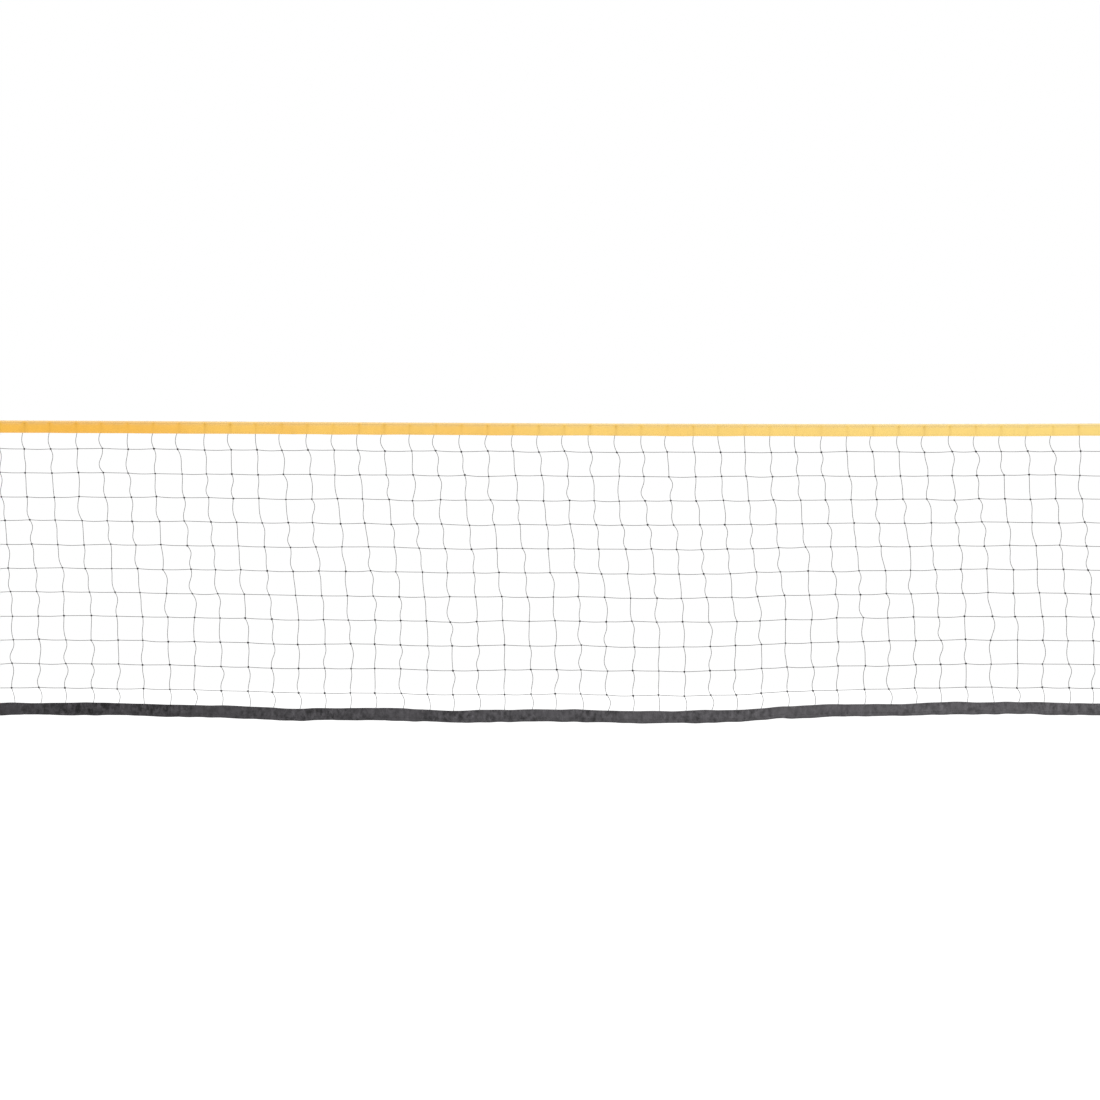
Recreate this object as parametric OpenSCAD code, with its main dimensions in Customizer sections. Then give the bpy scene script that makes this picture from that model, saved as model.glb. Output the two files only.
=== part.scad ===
// Volleyball net on two free-standing telescopic poles.
// Frame: X along the net, +Z up, origin on the floor under the middle of the net. Millimetres.

/* [Netting] */
// Width of one mesh of the netting
mesh_w = 87.4; // [70:0.2:110]
// Number of meshes along the net, an even number
mesh_cols = 68; // [40:2:80]
// Number of meshes from the head cord to the foot cord, an even number
mesh_rows = 12; // [8:2:14]
// Thickness of the twine
twine_d = 1.8; // [0.8:0.1:2]
// How far the mesh columns lean sideways on the way down
mesh_lean = 58; // [0:1:80]

/* [Tapes] */
// Height of the whole net, from the top edge to the bottom edge
net_h = 1000; // [900:10:1100]
// Height of the top tape
top_tape_h = 42; // [30:1:70]
// Height of the bottom tape
bottom_tape_h = 41; // [28:1:60]
// Thickness of the tape's cloth
cloth_t = 1; // [0.6:0.1:1.4]
// Room for the netting between the two flaps of a tape
slit_w = 2.4; // [2.2:0.1:3]
// Diameter of the head cord and the foot cord
cord_d = 6; // [4:0.5:7]
// Sag of the top tape in its middle
top_sag = 12; // [5:1:30]
// How much more the top tape sags on the right than in the middle
top_skew = 13; // [0:1:20]
// Sag of the bottom tape in its middle
bottom_sag = 20; // [0:1:30]
// Height of the slow wave of the bottom tape
wave_h = 11.5; // [0:0.5:20]
// Length of the slow wave of the bottom tape
wave_len = 2850; // [2500:50:5000]
// Height of the short ripple of the bottom tape
ripple_h = 5; // [0:0.5:6]
// Length of the short ripple of the bottom tape
ripple_len = 1700; // [900:50:1800]

/* [Net ends] */
// Diameter of the dowel in each end of the net
dowel_d = 10; // [8:0.5:14]
// Width of the flat part of the side band
band_w = 30; // [20:1:50]
// Width of the webbing straps
strap_w = 25; // [20:1:28]
// Thickness of the webbing straps
strap_t = 1.6; // [1.2:0.1:2]
// Free length between the net's dowel and the pole
pole_gap = 200; // [150:5:400]

/* [Poles] */
// Height of the top edge of the net above the floor
net_top = 2430; // [2300:5:2500]
// Lowest setting of the top edge of the net
net_top_low = 2000; // [1960:5:2200]
// Outside diameter of the lower tube
lower_d = 50; // [49:1:60]
// Outside diameter of the upper tube
upper_d = 44; // [38:1:44]
// Wall of both tubes
tube_wall = 2; // [1.5:0.1:2.5]
// Height of the top end of the lower tube
lower_top = 950; // [850:5:960]
// Length of the upper tube that stays inside the lower tube
overlap_len = 390; // [300:5:400]
// Height of the tube's end above the top edge of the net
tube_over_net = 6; // [4:1:12]
// Number of steps between the height marks on the upper tube
mark_steps = 5; // [3:1:8]
// Depth of the height marks turned in the upper tube
mark_depth = 0.4; // [0.2:0.1:0.8]

/* [Height clamp] */
// Height of the clamp collar
collar_h = 80; // [60:1:110]
// Length of the collar that grips the lower tube
collar_grip = 45; // [30:1:50]
// Wall of the clamp collar
collar_wall = 6; // [5:0.5:9]
// Width of the collar's split
split_w = 4; // [3:0.5:6]
// Thickness of each clamping ear
ear_t = 14; // [10:1:18]
// Diameter of the star knob
knob_d = 52; // [40:1:60]
// Diameter of the knob's threaded stud
stud_d = 8; // [6:1:10]

/* [Brackets] */
// Height of a bracket's collar
bracket_h = 50; // [46:1:70]
// Wall of a bracket's collar
bracket_wall = 5; // [4:0.5:7]
// Thickness of a bracket's lugs
lug_t = 5; // [4:0.5:8]
// Distance from the pole's axis to the anchor pin
pin_reach = 52; // [45:1:70]
// Diameter of the anchor pin
pin_d = 8; // [6:1:10]
// Diameter of the clamping bolts
bolt_d = 6; // [5:1:8]

/* [Ratchet] */
// Distance from the pole's axis to the ratchet's spindle
spindle_reach = 85; // [80:1:100]
// Diameter of the spindle
spindle_d = 16; // [14:1:18]
// Turns of strap on the spindle
roll_turns = 3; // [1:1:4]
// Radius of the wheel over its teeth
tooth_tip_r = 22; // [21:0.5:22]
// Radius of the wheel at the foot of its teeth
tooth_root_r = 17; // [15:0.5:17]
// Thickness of the wheel and of the pawl
wheel_t = 5; // [4:0.5:6]
// Length of the crank's arm
crank_len = 110; // [70:5:140]
// Length of the crank's grip
grip_len = 46; // [35:1:70]

/* [Base] */
// Length of the base tank along the net
tank_l = 620; // [560:5:760]
// Width of the base tank across the net
tank_w = 640; // [560:5:760]
// Height of the tank's deck above the floor
tank_h = 170; // [160:1:220]
// Radius of the tank's corners
tank_corner = 90; // [60:5:110]
// Radius of the tank's shoulders
tank_shoulder = 55; // [30:1:60]
// Distance from the pole's axis to the tank's edge under the net
tank_inboard = 200; // [170:5:240]
// Height of the rubber feet
foot_h = 8; // [5:1:12]
// Diameter of the transport wheels
wheel_d = 124; // [100:1:130]
// Width of the transport wheels
wheel_w = 36; // [28:1:44]
// Diameter of the wheels' axle
axle_d = 12; // [10:1:16]
// Diameter of the filler cap
cap_d = 64; // [54:1:80]

/* [Struts] */
// Diameter of the struts
strut_d = 19; // [16:1:25]
// Height of the strut collar
strut_top = 540; // [400:10:600]
// Distance from the pole's axis to a strut's foot, along the net
strut_foot_x = 285; // [250:5:300]
// Distance from the pole's axis to a strut's foot, across the net
strut_foot_y = 190; // [150:5:200]

/* [Hidden] */
SIDE_NODES = ["base_tank", "filler_cap", "axle", "front_wheel", "back_wheel", "lower_tube", "strut_collar",
    "front_strut", "back_strut", "clamp_collar", "clamp_knob", "upper_tube", "top_cap", "bottom_bracket",
    "bottom_pin", "bracket_bolts", "side_band", "dowel", "top_strap", "bottom_strap"];
LEFT_ONLY = ["left_top_bracket", "left_top_pin"];
RIGHT_ONLY = ["ratchet_frame", "ratchet_spindle", "ratchet_wheel", "strap_roll", "ratchet_pawl", "pawl_pin",
    "crank_arm", "crank_grip"];
SHARED = ["top_tape", "bottom_tape", "head_cord", "foot_cord", "netting", "strut_bolts", "rubber_feet"];

YELLOW = "#F4BC55";
CHARCOAL = "#454346";
BLACK = "#232325";
STEEL = "#B4B6B8";
ALUMINIUM = "#C9CBCC";

// Clearances
fit = 0.1;          // between pieces that are clamped or pushed together
run = 0.3;          // between pieces that move on each other
touch = 0.3;        // between soft pieces and what they lie against
eps = 0.01;

// Net
strand_step = 2;    // every second strand of the mesh is drawn, each way
net_half = mesh_cols * mesh_w / 2;
tape_out_t = slit_w + 2 * cloth_t;
cord_r = cord_d / 2;
fold_steps = 6;     // straight sides of the fold round a cord
sleeve_r = (cord_r + touch) / cos(160 / fold_steps);
cord_drop = sleeve_r + cloth_t;
netting_drop = cord_drop + cord_r + touch + twine_d / 2;
dowel_r = dowel_d / 2;
band_ring_in = dowel_r + 0.2;
band_ring_out = band_ring_in + cloth_t + 0.4;
band_t = slit_w - 2 * fit;
strap_ring_in = dowel_r + touch;
strap_ring_out = strap_ring_in + strap_t;
band_edge = max(band_ring_out, strap_ring_out) + touch;
dowel_x = net_half + twine_d / 2 + touch + band_w + band_edge;
tape_end = dowel_x - band_edge;
dowel_over = 6;
pole_x = dowel_x + pole_gap;
top_steps = 30;
bottom_steps = 48;
ripple_turn = 140;  // place of the short ripple, in degrees of its length
lean_end = 0.8;     // the columns lean no further below this share of the way down
chord_room = 0.6;   // the netting's edge is straight from column to column, the cords are curved

// Poles
lower_r = lower_d / 2;
upper_r = upper_d / 2;
tube_seat = foot_h + 12;
collar_top = lower_top - collar_grip + collar_h;
upper_bottom = lower_top - overlap_len;
upper_top = net_top + tube_over_net;
strap_z_top = net_top - top_tape_h / 2;
strap_z_bottom = net_top - net_h + bottom_tape_h / 2;
height_travel = net_top - net_top_low;
mark_w = 2;
cap_dome = 9;

// Ratchet
tooth_count = 12;

// Base
deck_z = tank_h;
tank_middle = tank_l / 2 - tank_inboard;
wheel_r = wheel_d / 2;
wheel_lift = 2;
wheel_x = tank_l - tank_inboard - wheel_r + 4;
wheel_z = wheel_r + wheel_lift;
arch_r = wheel_r + 10;
arch_y = tank_w / 2 - wheel_w - 22;
wheel_y = arch_y + 6 + wheel_w / 2;
axle_r = axle_d / 2;
neck_r = cap_d / 2 - 4;
neck_h = 12;
neck_x = 90;
neck_inset = 120;
neck_y = tank_w / 2 - neck_inset;
root = 20;          // how far what stands on the deck goes down into the tank
strut_r = strut_d / 2;
plate_t = 4;
strut_collar_h = 34;
strut_ear_x = lower_r + 22;
strut_ear_y = 17;
strut_ear_t = 5;
strut_bolt_d = 8;
bolt_hole_r = strut_bolt_d / 2 + fit;
foot_bolts = [-26, 26];
foot_bolt_len = 18;
foot_plate = [36, 76];

// ---------------------------------------------------------------- the net's lines

// Share of the net's middle, 1 in the middle and 0 at the dowels
function middle_share(x) = 1 - pow(min(1, abs(x) / dowel_x), 2);
function free_share(x) = 1 - pow(min(1, abs(x) / dowel_x), 4);

// Height of the top edge of the top tape and of the bottom edge of the bottom tape
function top_line(x) = net_top - middle_share(x) * (top_sag + top_skew * x / dowel_x);
function bottom_line(x) = net_top - net_h - middle_share(x) * bottom_sag
    + free_share(x) * (ripple_h * sin(360 * x / ripple_len + ripple_turn) - wave_h * cos(360 * x / wave_len));

// The netting's own upper and lower edges lie against the two cords
function netting_top(x) = top_line(x) - netting_drop;
function netting_bottom(x) = bottom_line(x) + netting_drop + chord_room;

// Place of the knot at column x and share v of the way down
function lean_share(v) = let (s = min(1, v / lean_end)) s * s * (3 - 2 * s);
function knot(x, v) =
    let (px = x + mesh_lean * lean_share(v) * free_share(x * dowel_x / net_half))
    [px, netting_top(px) * (1 - v) + netting_bottom(px) * v];

// ---------------------------------------------------------------- shared shapes

function arc(r, a, b, n) = [for (i = [0 : n]) [r * cos(a + (b - a) * i / n), r * sin(a + (b - a) * i / n)]];
function shifted(points, d) = [for (p = points) p + d];

// A section [y, z] carried along the points of a line [x, z], as one closed solid of triangles.
// [cap] lists the triangles that fill the section, as places in [section].
module swept(section, cap, line) {
    n = len(section);
    steps = len(line) - 1;
    points = [for (p = line) for (s = section) [p[0], s[0], p[1] + s[1]]];
    walls = [for (i = [0 : steps - 1]) for (k = [0 : n - 1])
        let (a = i * n + k, b = i * n + (k + 1) % n, c = a + n, d = b + n)
        each [[a, b, d], [a, d, c]]];
    start_cap = [for (t = cap) [t[2], t[1], t[0]]];
    end_cap = [for (t = cap) [for (k = t) steps * n + k]];
    polyhedron(points, concat(walls, start_cap, end_cap), convexity = 8);
}

// Triangles of a round section, and of a strip whose second half runs back beside its first half
function fan_cap(n) = [for (k = [1 : n - 2]) [0, k, k + 1]];
function strip_cap(n) = [for (k = [0 : n / 2 - 2]) each [[k, k + 1, n - 2 - k], [k, n - 2 - k, n - 1 - k]]];

module at_pole(side) {
    if (side == "right") translate([pole_x, 0, 0]) children();
    if (side == "left") mirror([1, 0, 0]) translate([pole_x, 0, 0]) children();
}

module tube(r, wall, z0, z1) {
    translate([0, 0, z0])
        linear_extrude(z1 - z0)
            difference() {
                circle(r, $fn = 64);
                circle(r - wall, $fn = 64);
            }
}

module rounded_rect(w, h, r) {
    square([w - 2 * r, h], center = true);
    square([w, h - 2 * r], center = true);
    for (x = [-1, 1], y = [-1, 1]) translate([x * (w / 2 - r), y * (h / 2 - r)]) circle(r, $fn = 64);
}

module rod_y(r, y0, y1) {
    translate([0, y0, 0]) rotate([-90, 0, 0]) cylinder(r = r, h = y1 - y0, $fn = 48);
}

// Hexagon-headed bolt standing on the XY plane, shank down
module hex_bolt(d, shank) {
    cylinder(d = d * 1.8, h = d * 0.65, $fn = 6);
    translate([0, 0, -shank]) cylinder(d = d, h = shank + eps, $fn = 32);
}

// Bolt along Y through something [half] thick each way, with its nut on the far side
module through_bolt(d, half) {
    rotate([90, 0, 0]) translate([0, 0, half]) hex_bolt(d, 2 * half + d * 1.2);
    translate([0, half, 0]) rotate([-90, 0, 0]) cylinder(d = d * 1.8, h = d * 0.8, $fn = 6);
}

// ---------------------------------------------------------------- netting and tapes

module netting() {
    gap_cols = mesh_cols / strand_step;
    gap_rows = mesh_rows / strand_step;
    half = twine_d / 2;
    steps = [0 : gap_cols];
    top_edge = [for (i = steps) knot(-net_half + 2 * net_half * i / gap_cols, 0) + [0, half]];
    bottom_edge = [for (i = [gap_cols : -1 : 0]) knot(-net_half + 2 * net_half * i / gap_cols, 1) - [0, half]];
    left_edge = [for (j = [gap_rows - 1 : -1 : 1]) knot(-net_half, j / gap_rows) - [half, 0]];
    right_edge = [for (j = [1 : gap_rows - 1]) knot(net_half, j / gap_rows) + [half, 0]];
    outline = concat(top_edge, right_edge, bottom_edge, left_edge);
    gaps = [for (i = [0 : gap_cols - 1]) for (j = [0 : gap_rows - 1])
        let (x0 = -net_half + 2 * net_half * i / gap_cols, x1 = -net_half + 2 * net_half * (i + 1) / gap_cols,
             v0 = j / gap_rows, v1 = (j + 1) / gap_rows)
        [knot(x0, v0) + [half, -half], knot(x1, v0) + [-half, -half],
         knot(x1, v1) + [-half, half], knot(x0, v1) + [half, half]]];
    outline_path = [[for (k = [0 : len(outline) - 1]) k]];
    gap_paths = [for (g = [0 : len(gaps) - 1]) [for (k = [0 : 3]) len(outline) + 4 * g + k]];
    color(BLACK)
        translate([0, twine_d / 2, 0])
            rotate([90, 0, 0])
                linear_extrude(twine_d)
                    polygon(concat(outline, [for (g = gaps) each g]), concat(outline_path, gap_paths));
}

// Cloth folded over a cord, as a [y, z] outline hanging down from the fold at z = 0:
// the outer face from left to right, then the inner face back again
function fold_arc(r, half_gap) =
    let (a = asin(half_gap / r)) shifted(arc(r, 270 - a, -90 + a, fold_steps), [0, -cord_drop]);
function backwards(list) = [for (k = [len(list) - 1 : -1 : 0]) list[k]];
function folded_tape(h) =
    let (outer = fold_arc(sleeve_r + cloth_t, tape_out_t / 2), inner = fold_arc(sleeve_r, slit_w / 2))
    concat([[-tape_out_t / 2, -h]], outer, [[tape_out_t / 2, -h], [slit_w / 2, -h]],
           backwards(inner), [[-slit_w / 2, -h]]);

// The same fold the other way up, for the foot of the net
function upturned(section) = [for (k = [0 : len(section) - 1]) -section[k]];

function tape_stations(steps) = [for (i = [0 : steps]) -tape_end + 2 * tape_end * i / steps];

module tape(section, stations, height) {
    swept(section, strip_cap(len(section)), [for (k = [0 : len(stations) - 1]) [stations[k], height[k]]]);
}

module top_tape() {
    xs = tape_stations(top_steps);
    color(YELLOW) tape(folded_tape(top_tape_h), xs, [for (x = xs) top_line(x)]);
}

module bottom_tape() {
    xs = tape_stations(bottom_steps);
    color(CHARCOAL) tape(upturned(folded_tape(bottom_tape_h)), xs, [for (x = xs) bottom_line(x)]);
}

module cord(stations, height) {
    sides = 8;
    ring = arc(cord_r, 0, -360 + 360 / sides, sides - 1);
    swept(ring, fan_cap(sides), [for (k = [0 : len(stations) - 1]) [stations[k], height[k]]]);
}

module head_cord() {
    xs = tape_stations(top_steps);
    color("white") cord(xs, [for (x = xs) top_line(x) - cord_drop]);
}

module foot_cord() {
    xs = tape_stations(bottom_steps);
    color("white") cord(xs, [for (x = xs) bottom_line(x) + cord_drop]);
}

// ---------------------------------------------------------------- net ends
// These are drawn relative to the pole on the right, so the dowel stands at x = -pole_gap.

module at_dowel(side) {
    at_pole(side) translate([-pole_gap, 0, 0]) children();
}

// Sleeve round the dowel between the straps, with a flap that reaches up and down into the tapes
module side_band(side) {
    strap_room = strap_w / 2 + 2;
    tape_room = cord_drop + sleeve_r + 1.5;
    flap_low = net_top - net_h + tape_room;
    flap_high = net_top - tape_room;
    color(CHARCOAL)
        at_dowel(side)
            difference() {
                union() {
                    translate([0, 0, strap_z_bottom + strap_room])
                        cylinder(r = band_ring_out, h = strap_z_top - strap_z_bottom - 2 * strap_room, $fn = 48);
                    translate([-band_edge - band_w, -band_t / 2, flap_low])
                        cube([band_w, band_t, flap_high - flap_low]);
                    translate([-band_edge - eps, -band_t / 2, strap_z_bottom + strap_room])
                        cube([band_edge, band_t, strap_z_top - strap_z_bottom - 2 * strap_room]);
                }
                translate([0, 0, net_top - net_h]) cylinder(r = band_ring_in, h = net_h, $fn = 48);
            }
}

module dowel(side) {
    color("#D8D2C0")
        at_dowel(side)
            translate([0, 0, net_top - net_h - dowel_over])
                cylinder(r = dowel_r, h = net_h + 2 * dowel_over, $fn = 48);
}

// A webbing strap that loops round the dowel and round a bracket's pin
module loop_strap(reach, pin_r, z) {
    pin_in = pin_r + touch;
    translate([0, 0, z - strap_w / 2])
        linear_extrude(strap_w)
            difference() {
                union() {
                    circle(strap_ring_out, $fn = 48);
                    translate([reach, 0]) circle(pin_in + strap_t, $fn = 48);
                    translate([0, -strap_t]) square([reach, 2 * strap_t]);
                }
                circle(strap_ring_in, $fn = 48);
                translate([reach, 0]) circle(pin_in, $fn = 48);
            }
}

module anchor_strap(side, z) {
    color(BLACK) at_dowel(side) loop_strap(pole_gap - pin_reach, pin_d / 2, z);
}

// The strap from the dowel to the ratchet: it passes in front of the roll and lies round a part of it
ply_pitch = strap_t + 0.2;
roll_in = spindle_d / 2 + touch;
roll_out = roll_in + roll_turns * ply_pitch + strap_t;
wrap_in = roll_out + touch;
module tension_strap() {
    reach = pole_gap - spindle_reach;
    line_off = wrap_in + strap_t / 2;
    tilt = asin(line_off / reach);
    straight = reach * cos(tilt);
    wrap_angle = 110;
    color(BLACK)
        at_dowel("right")
            translate([0, 0, strap_z_top - strap_w / 2])
                linear_extrude(strap_w)
                    difference() {
                        union() {
                            circle(strap_ring_out, $fn = 48);
                            rotate(-tilt) translate([0, -strap_t / 2]) square([straight, strap_t]);
                            rotate(-tilt) translate([0, -strap_t]) square([straight / 2, 2 * strap_t]);
                            translate([reach, 0])
                                polygon(concat(arc(wrap_in + strap_t, 270 - tilt, 270 - tilt + wrap_angle, 12),
                                    backwards(arc(wrap_in, 270 - tilt, 270 - tilt + wrap_angle, 12))));
                        }
                        circle(strap_ring_in, $fn = 48);
                    }
}

// ---------------------------------------------------------------- poles

module lower_tube(side) {
    color(CHARCOAL) at_pole(side) tube(lower_r, tube_wall, tube_seat, lower_top);
}

module upper_tube(side) {
    color(ALUMINIUM)
        at_pole(side)
            difference() {
                tube(upper_r, tube_wall, upper_bottom, upper_top);
                for (k = [0 : mark_steps])
                    translate([0, 0, collar_top + mark_w + height_travel * k / mark_steps])
                        difference() {
                            cylinder(r = upper_r + 1, h = mark_w, $fn = 64);
                            translate([0, 0, -1]) cylinder(r = upper_r - mark_depth, h = mark_w + 2, $fn = 64);
                        }
            }
}

// Domed plug in the top end of the upper tube
module top_cap(side) {
    stem_r = upper_r - tube_wall - fit;
    stem_len = 22;
    rim_r = upper_r + 1.5;
    rim_t = 3;
    color(BLACK)
        at_pole(side)
            translate([0, 0, upper_top])
                rotate_extrude($fn = 64)
                    polygon(concat(
                        [[0, -stem_len], [stem_r - 1.5, -stem_len], [stem_r, -stem_len + 2], [stem_r, 0], [rim_r, 0],
                         [rim_r, rim_t]],
                        [for (a = [15 : 15 : 90]) [rim_r * cos(a), rim_t + (cap_dome - rim_t) * sin(a)]]));
}

// Split collar that grips the lower tube and squeezes the upper tube with the star knob
collar_r = lower_r + collar_wall;
clamp_half = split_w / 2 + ear_t;
knob_off = clamp_half + run + 6;
clamp_x = max(collar_r + 14, knob_d / 2 + 2 + sqrt(max(0, pow(collar_r + 2, 2) - pow(knob_off, 2))));
clamp_z = (lower_top + collar_top) / 2;
module clamp_collar(side) {
    rib = 1.5;
    ear_h = collar_top - lower_top;
    color(BLACK)
        at_pole(side)
            difference() {
                union() {
                    translate([0, 0, lower_top - collar_grip]) cylinder(r = collar_r, h = collar_h, $fn = 64);
                    for (z = [lower_top - collar_grip + 4, lower_top - collar_grip + 12, collar_top - 9])
                        translate([0, 0, z]) cylinder(r = collar_r + rib, h = 5, $fn = 64);
                    translate([0, -clamp_half, lower_top]) cube([clamp_x, 2 * clamp_half, ear_h]);
                    translate([clamp_x, 0, clamp_z]) rod_y(ear_h / 2, -clamp_half, clamp_half);
                }
                translate([0, 0, lower_top - collar_grip - 1])
                    cylinder(r = lower_r + fit, h = collar_grip + 1 + eps, $fn = 64);
                translate([0, 0, lower_top - 1]) cylinder(r = upper_r + run, h = collar_h, $fn = 64);
                translate([0, -split_w / 2, lower_top + 2]) cube([2 * clamp_x, split_w, collar_h]);
                translate([clamp_x, 0, clamp_z]) rod_y(stud_d / 2 + 0.2, -2 * clamp_half, clamp_half - 3);
            }
}

module clamp_knob(side) {
    lobes = 6;
    knob_h = 20;
    color(BLACK)
        at_pole(side)
            translate([clamp_x, 0, clamp_z]) {
                rod_y(stud_d / 2, -knob_off - 2, clamp_half - 4);
                rod_y(knob_d * 0.22, -knob_off - 2, -clamp_half - run);
                translate([0, -knob_off, 0])
                    rotate([90, 0, 0]) {
                        linear_extrude(knob_h)
                            difference() {
                                circle(d = knob_d, $fn = 64);
                                for (k = [0 : lobes - 1])
                                    rotate(k * 360 / lobes + 30)
                                        translate([knob_d * 0.62, 0]) circle(knob_d * 0.2, $fn = 48);
                            }
                        cylinder(r = knob_d * 0.3, h = knob_h + 3, $fn = 48);
                    }
            }
}

// ---------------------------------------------------------------- brackets on the upper tubes

bracket_r = upper_r + bracket_wall;
ear_len = 18;
ear_half = split_w / 2 + 10;

// Split collar with two clamping ears behind it and two lugs, [lug_gap] apart, towards the net
module lug_collar(reach, lug_gap, lug_r, wall_h, hole_r) {
    difference() {
        union() {
            translate([0, 0, -wall_h / 2]) cylinder(r = bracket_r, h = wall_h, $fn = 64);
            translate([0, -ear_half, -wall_h / 2]) cube([bracket_r + ear_len, 2 * ear_half, wall_h]);
            for (z = [lug_gap / 2, -lug_gap / 2 - lug_t])
                translate([0, 0, z])
                    linear_extrude(lug_t)
                        union() {
                            translate([-reach, 0]) circle(lug_r, $fn = 48);
                            polygon([[-reach, lug_r], [0, bracket_r], [0, -bracket_r], [-reach, -lug_r]]);
                        }
        }
        translate([0, 0, -wall_h]) cylinder(r = upper_r + fit, h = 2 * wall_h, $fn = 64);
        translate([0, -split_w / 2, -wall_h]) cube([3 * bracket_r, split_w, 2 * wall_h]);
        translate([-reach, 0, -wall_h]) cylinder(r = hole_r, h = 2 * wall_h, $fn = 48);
        translate([bracket_r + ear_len / 2, 0, 0]) rod_y(bolt_d / 2 + fit, -2 * ear_half, 2 * ear_half);
    }
}

anchor_gap = strap_w + 3;
module anchor_bracket(side, z) {
    color(STEEL)
        at_pole(side)
            translate([0, 0, z]) lug_collar(pin_reach, anchor_gap, pin_d / 2 + 8, bracket_h, pin_d / 2 + fit);
}

// Pull-out pin with a flat head that rests on the upper lug
module anchor_pin(side, z) {
    lug_top = anchor_gap / 2 + lug_t;
    color(STEEL)
        at_pole(side)
            translate([-pin_reach, 0, z]) {
                translate([0, 0, -lug_top - 4]) cylinder(d = pin_d, h = 2 * lug_top + 6, $fn = 48);
                translate([0, 0, lug_top + fit]) cylinder(d = pin_d * 2, h = 4, $fn = 48);
                translate([0, 0, lug_top + 4]) cylinder(d1 = pin_d * 1.2, d2 = pin_d * 2, h = 10, $fn = 48);
            }
}

// Bolt through a bracket's ears, head to the front and nut to the back
module bracket_bolt(z) {
    translate([bracket_r + ear_len / 2, 0, z]) through_bolt(bolt_d, ear_half);
}

module bracket_bolts(side) {
    color(STEEL)
        at_pole(side) {
            bracket_bolt(strap_z_top);
            bracket_bolt(strap_z_bottom);
        }
}

// ---------------------------------------------------------------- ratchet tensioner, on the right pole

frame_gap = strap_w + 5;
frame_half = frame_gap / 2 + lug_t;
frame_w = tooth_tip_r + 4;
frame_low = strap_z_top - frame_half;
frame_top = strap_z_top + frame_half;
wheel_low = frame_top + 0.5;
wheel_top = wheel_low + wheel_t;
pivot_r = 3;
pawl_pivot = [tooth_tip_r + 13, tooth_root_r + 1];
crank_low = max(upper_top + cap_dome + 4, wheel_top + 10);
crank_t = 6;
grip_pin_r = 4;

module at_spindle() {
    at_pole("right") translate([-spindle_reach, 0, 0]) children();
}

module ratchet_frame() {
    color(STEEL)
        at_pole("right")
            translate([0, 0, strap_z_top])
                difference() {
                    lug_collar(spindle_reach, frame_gap, frame_w, 2 * frame_half, spindle_d / 2 + 0.1);
                    translate([pawl_pivot[0] - spindle_reach, pawl_pivot[1], 0])
                        cylinder(r = pivot_r + fit, h = 2 * frame_half, $fn = 32);
                }
}

// Spindle with a flange below the frame and a slot for the strap's tail
module ratchet_spindle() {
    flange_t = 6;
    slot = strap_t + 0.6;
    color(STEEL)
        at_spindle()
            difference() {
                union() {
                    translate([0, 0, frame_low - flange_t - run])
                        cylinder(d = spindle_d, h = crank_low - frame_low + flange_t + run, $fn = 48);
                    translate([0, 0, frame_low - flange_t - run])
                        cylinder(d = spindle_d + 8, h = flange_t, $fn = 48);
                }
                translate([-slot / 2, -spindle_d, strap_z_top - strap_w / 2 - 1])
                    cube([slot, 2 * spindle_d, strap_w + 2]);
            }
}

// Strap wound on the spindle as one spiral, its tail through the slot
module strap_roll() {
    steps = 18;
    last = ceil(roll_turns * steps);
    spiral = function(r, from) [for (k = [from : last])
        let (a = 270 - 360 * k / steps) (r + ply_pitch * k / steps) * [cos(a), sin(a)]];
    half = strap_t / 2;
    tail_end = spindle_d / 2 - 1;
    tail = [[-half, -roll_in], [-half, tail_end], [half, tail_end], [half, -roll_in - half]];
    color(BLACK)
        at_spindle()
            translate([0, 0, strap_z_top - strap_w / 2])
                linear_extrude(strap_w)
                    polygon(concat(spiral(roll_in + strap_t, 0), backwards(spiral(roll_in, 1)), tail));
}

// Ratchet wheel: each tooth has a straight face that the pawl holds and a long slope behind it
module ratchet_wheel() {
    pitch = 360 / tooth_count;
    first_face = 89;
    color(STEEL)
        at_spindle()
            translate([0, 0, wheel_low])
                difference() {
                    linear_extrude(wheel_t)
                        polygon([for (k = [0 : tooth_count - 1])
                            let (a = first_face + k * pitch)
                            each [tooth_root_r * [cos(a), sin(a)], tooth_tip_r * [cos(a), sin(a)]]]);
                    translate([0, 0, -1]) cylinder(r = spindle_d / 2 + fit, h = wheel_t + 2, $fn = 48);
                }
}

// Pawl whose nose stands in front of a tooth's face, with a thumb tail behind its pivot
module ratchet_pawl() {
    nose_x = 0.8;
    nose_low = tooth_root_r + 0.9;
    next_tip = (tooth_tip_r + 1.2) * [sin(360 / tooth_count), cos(360 / tooth_count)];
    boss_r = 7;
    tail = pawl_pivot + [11, 11];
    color(BLACK)
        at_spindle()
            translate([0, 0, wheel_low])
                difference() {
                    linear_extrude(wheel_t)
                        union() {
                            translate(pawl_pivot) circle(boss_r, $fn = 48);
                            translate(tail) circle(3.5, $fn = 48);
                            polygon([[nose_x, nose_low], next_tip, next_tip + [6, 0], pawl_pivot + [-3, -5], pawl_pivot,
                                pawl_pivot + [-3, 6.5], next_tip + [0, 4.5], [nose_x, tooth_tip_r + 0.5]]);
                            polygon([pawl_pivot + [5, -3], tail + [2.5, -2.5], tail + [-2.5, 2.5], pawl_pivot + [-3, 5]]);
                        }
                    translate([pawl_pivot[0], pawl_pivot[1], -1])
                        cylinder(r = pivot_r + run, h = wheel_t + 2, $fn = 32);
                }
}

module pawl_pin() {
    head_t = 2;
    color(STEEL)
        at_spindle()
            translate([pawl_pivot[0], pawl_pivot[1], 0]) {
                translate([0, 0, frame_top - lug_t]) cylinder(r = pivot_r, h = wheel_top - frame_top + lug_t + 1, $fn = 32);
                translate([0, 0, wheel_top + run]) cylinder(r = pivot_r + 2.5, h = head_t, $fn = 32);
            }
}

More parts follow.
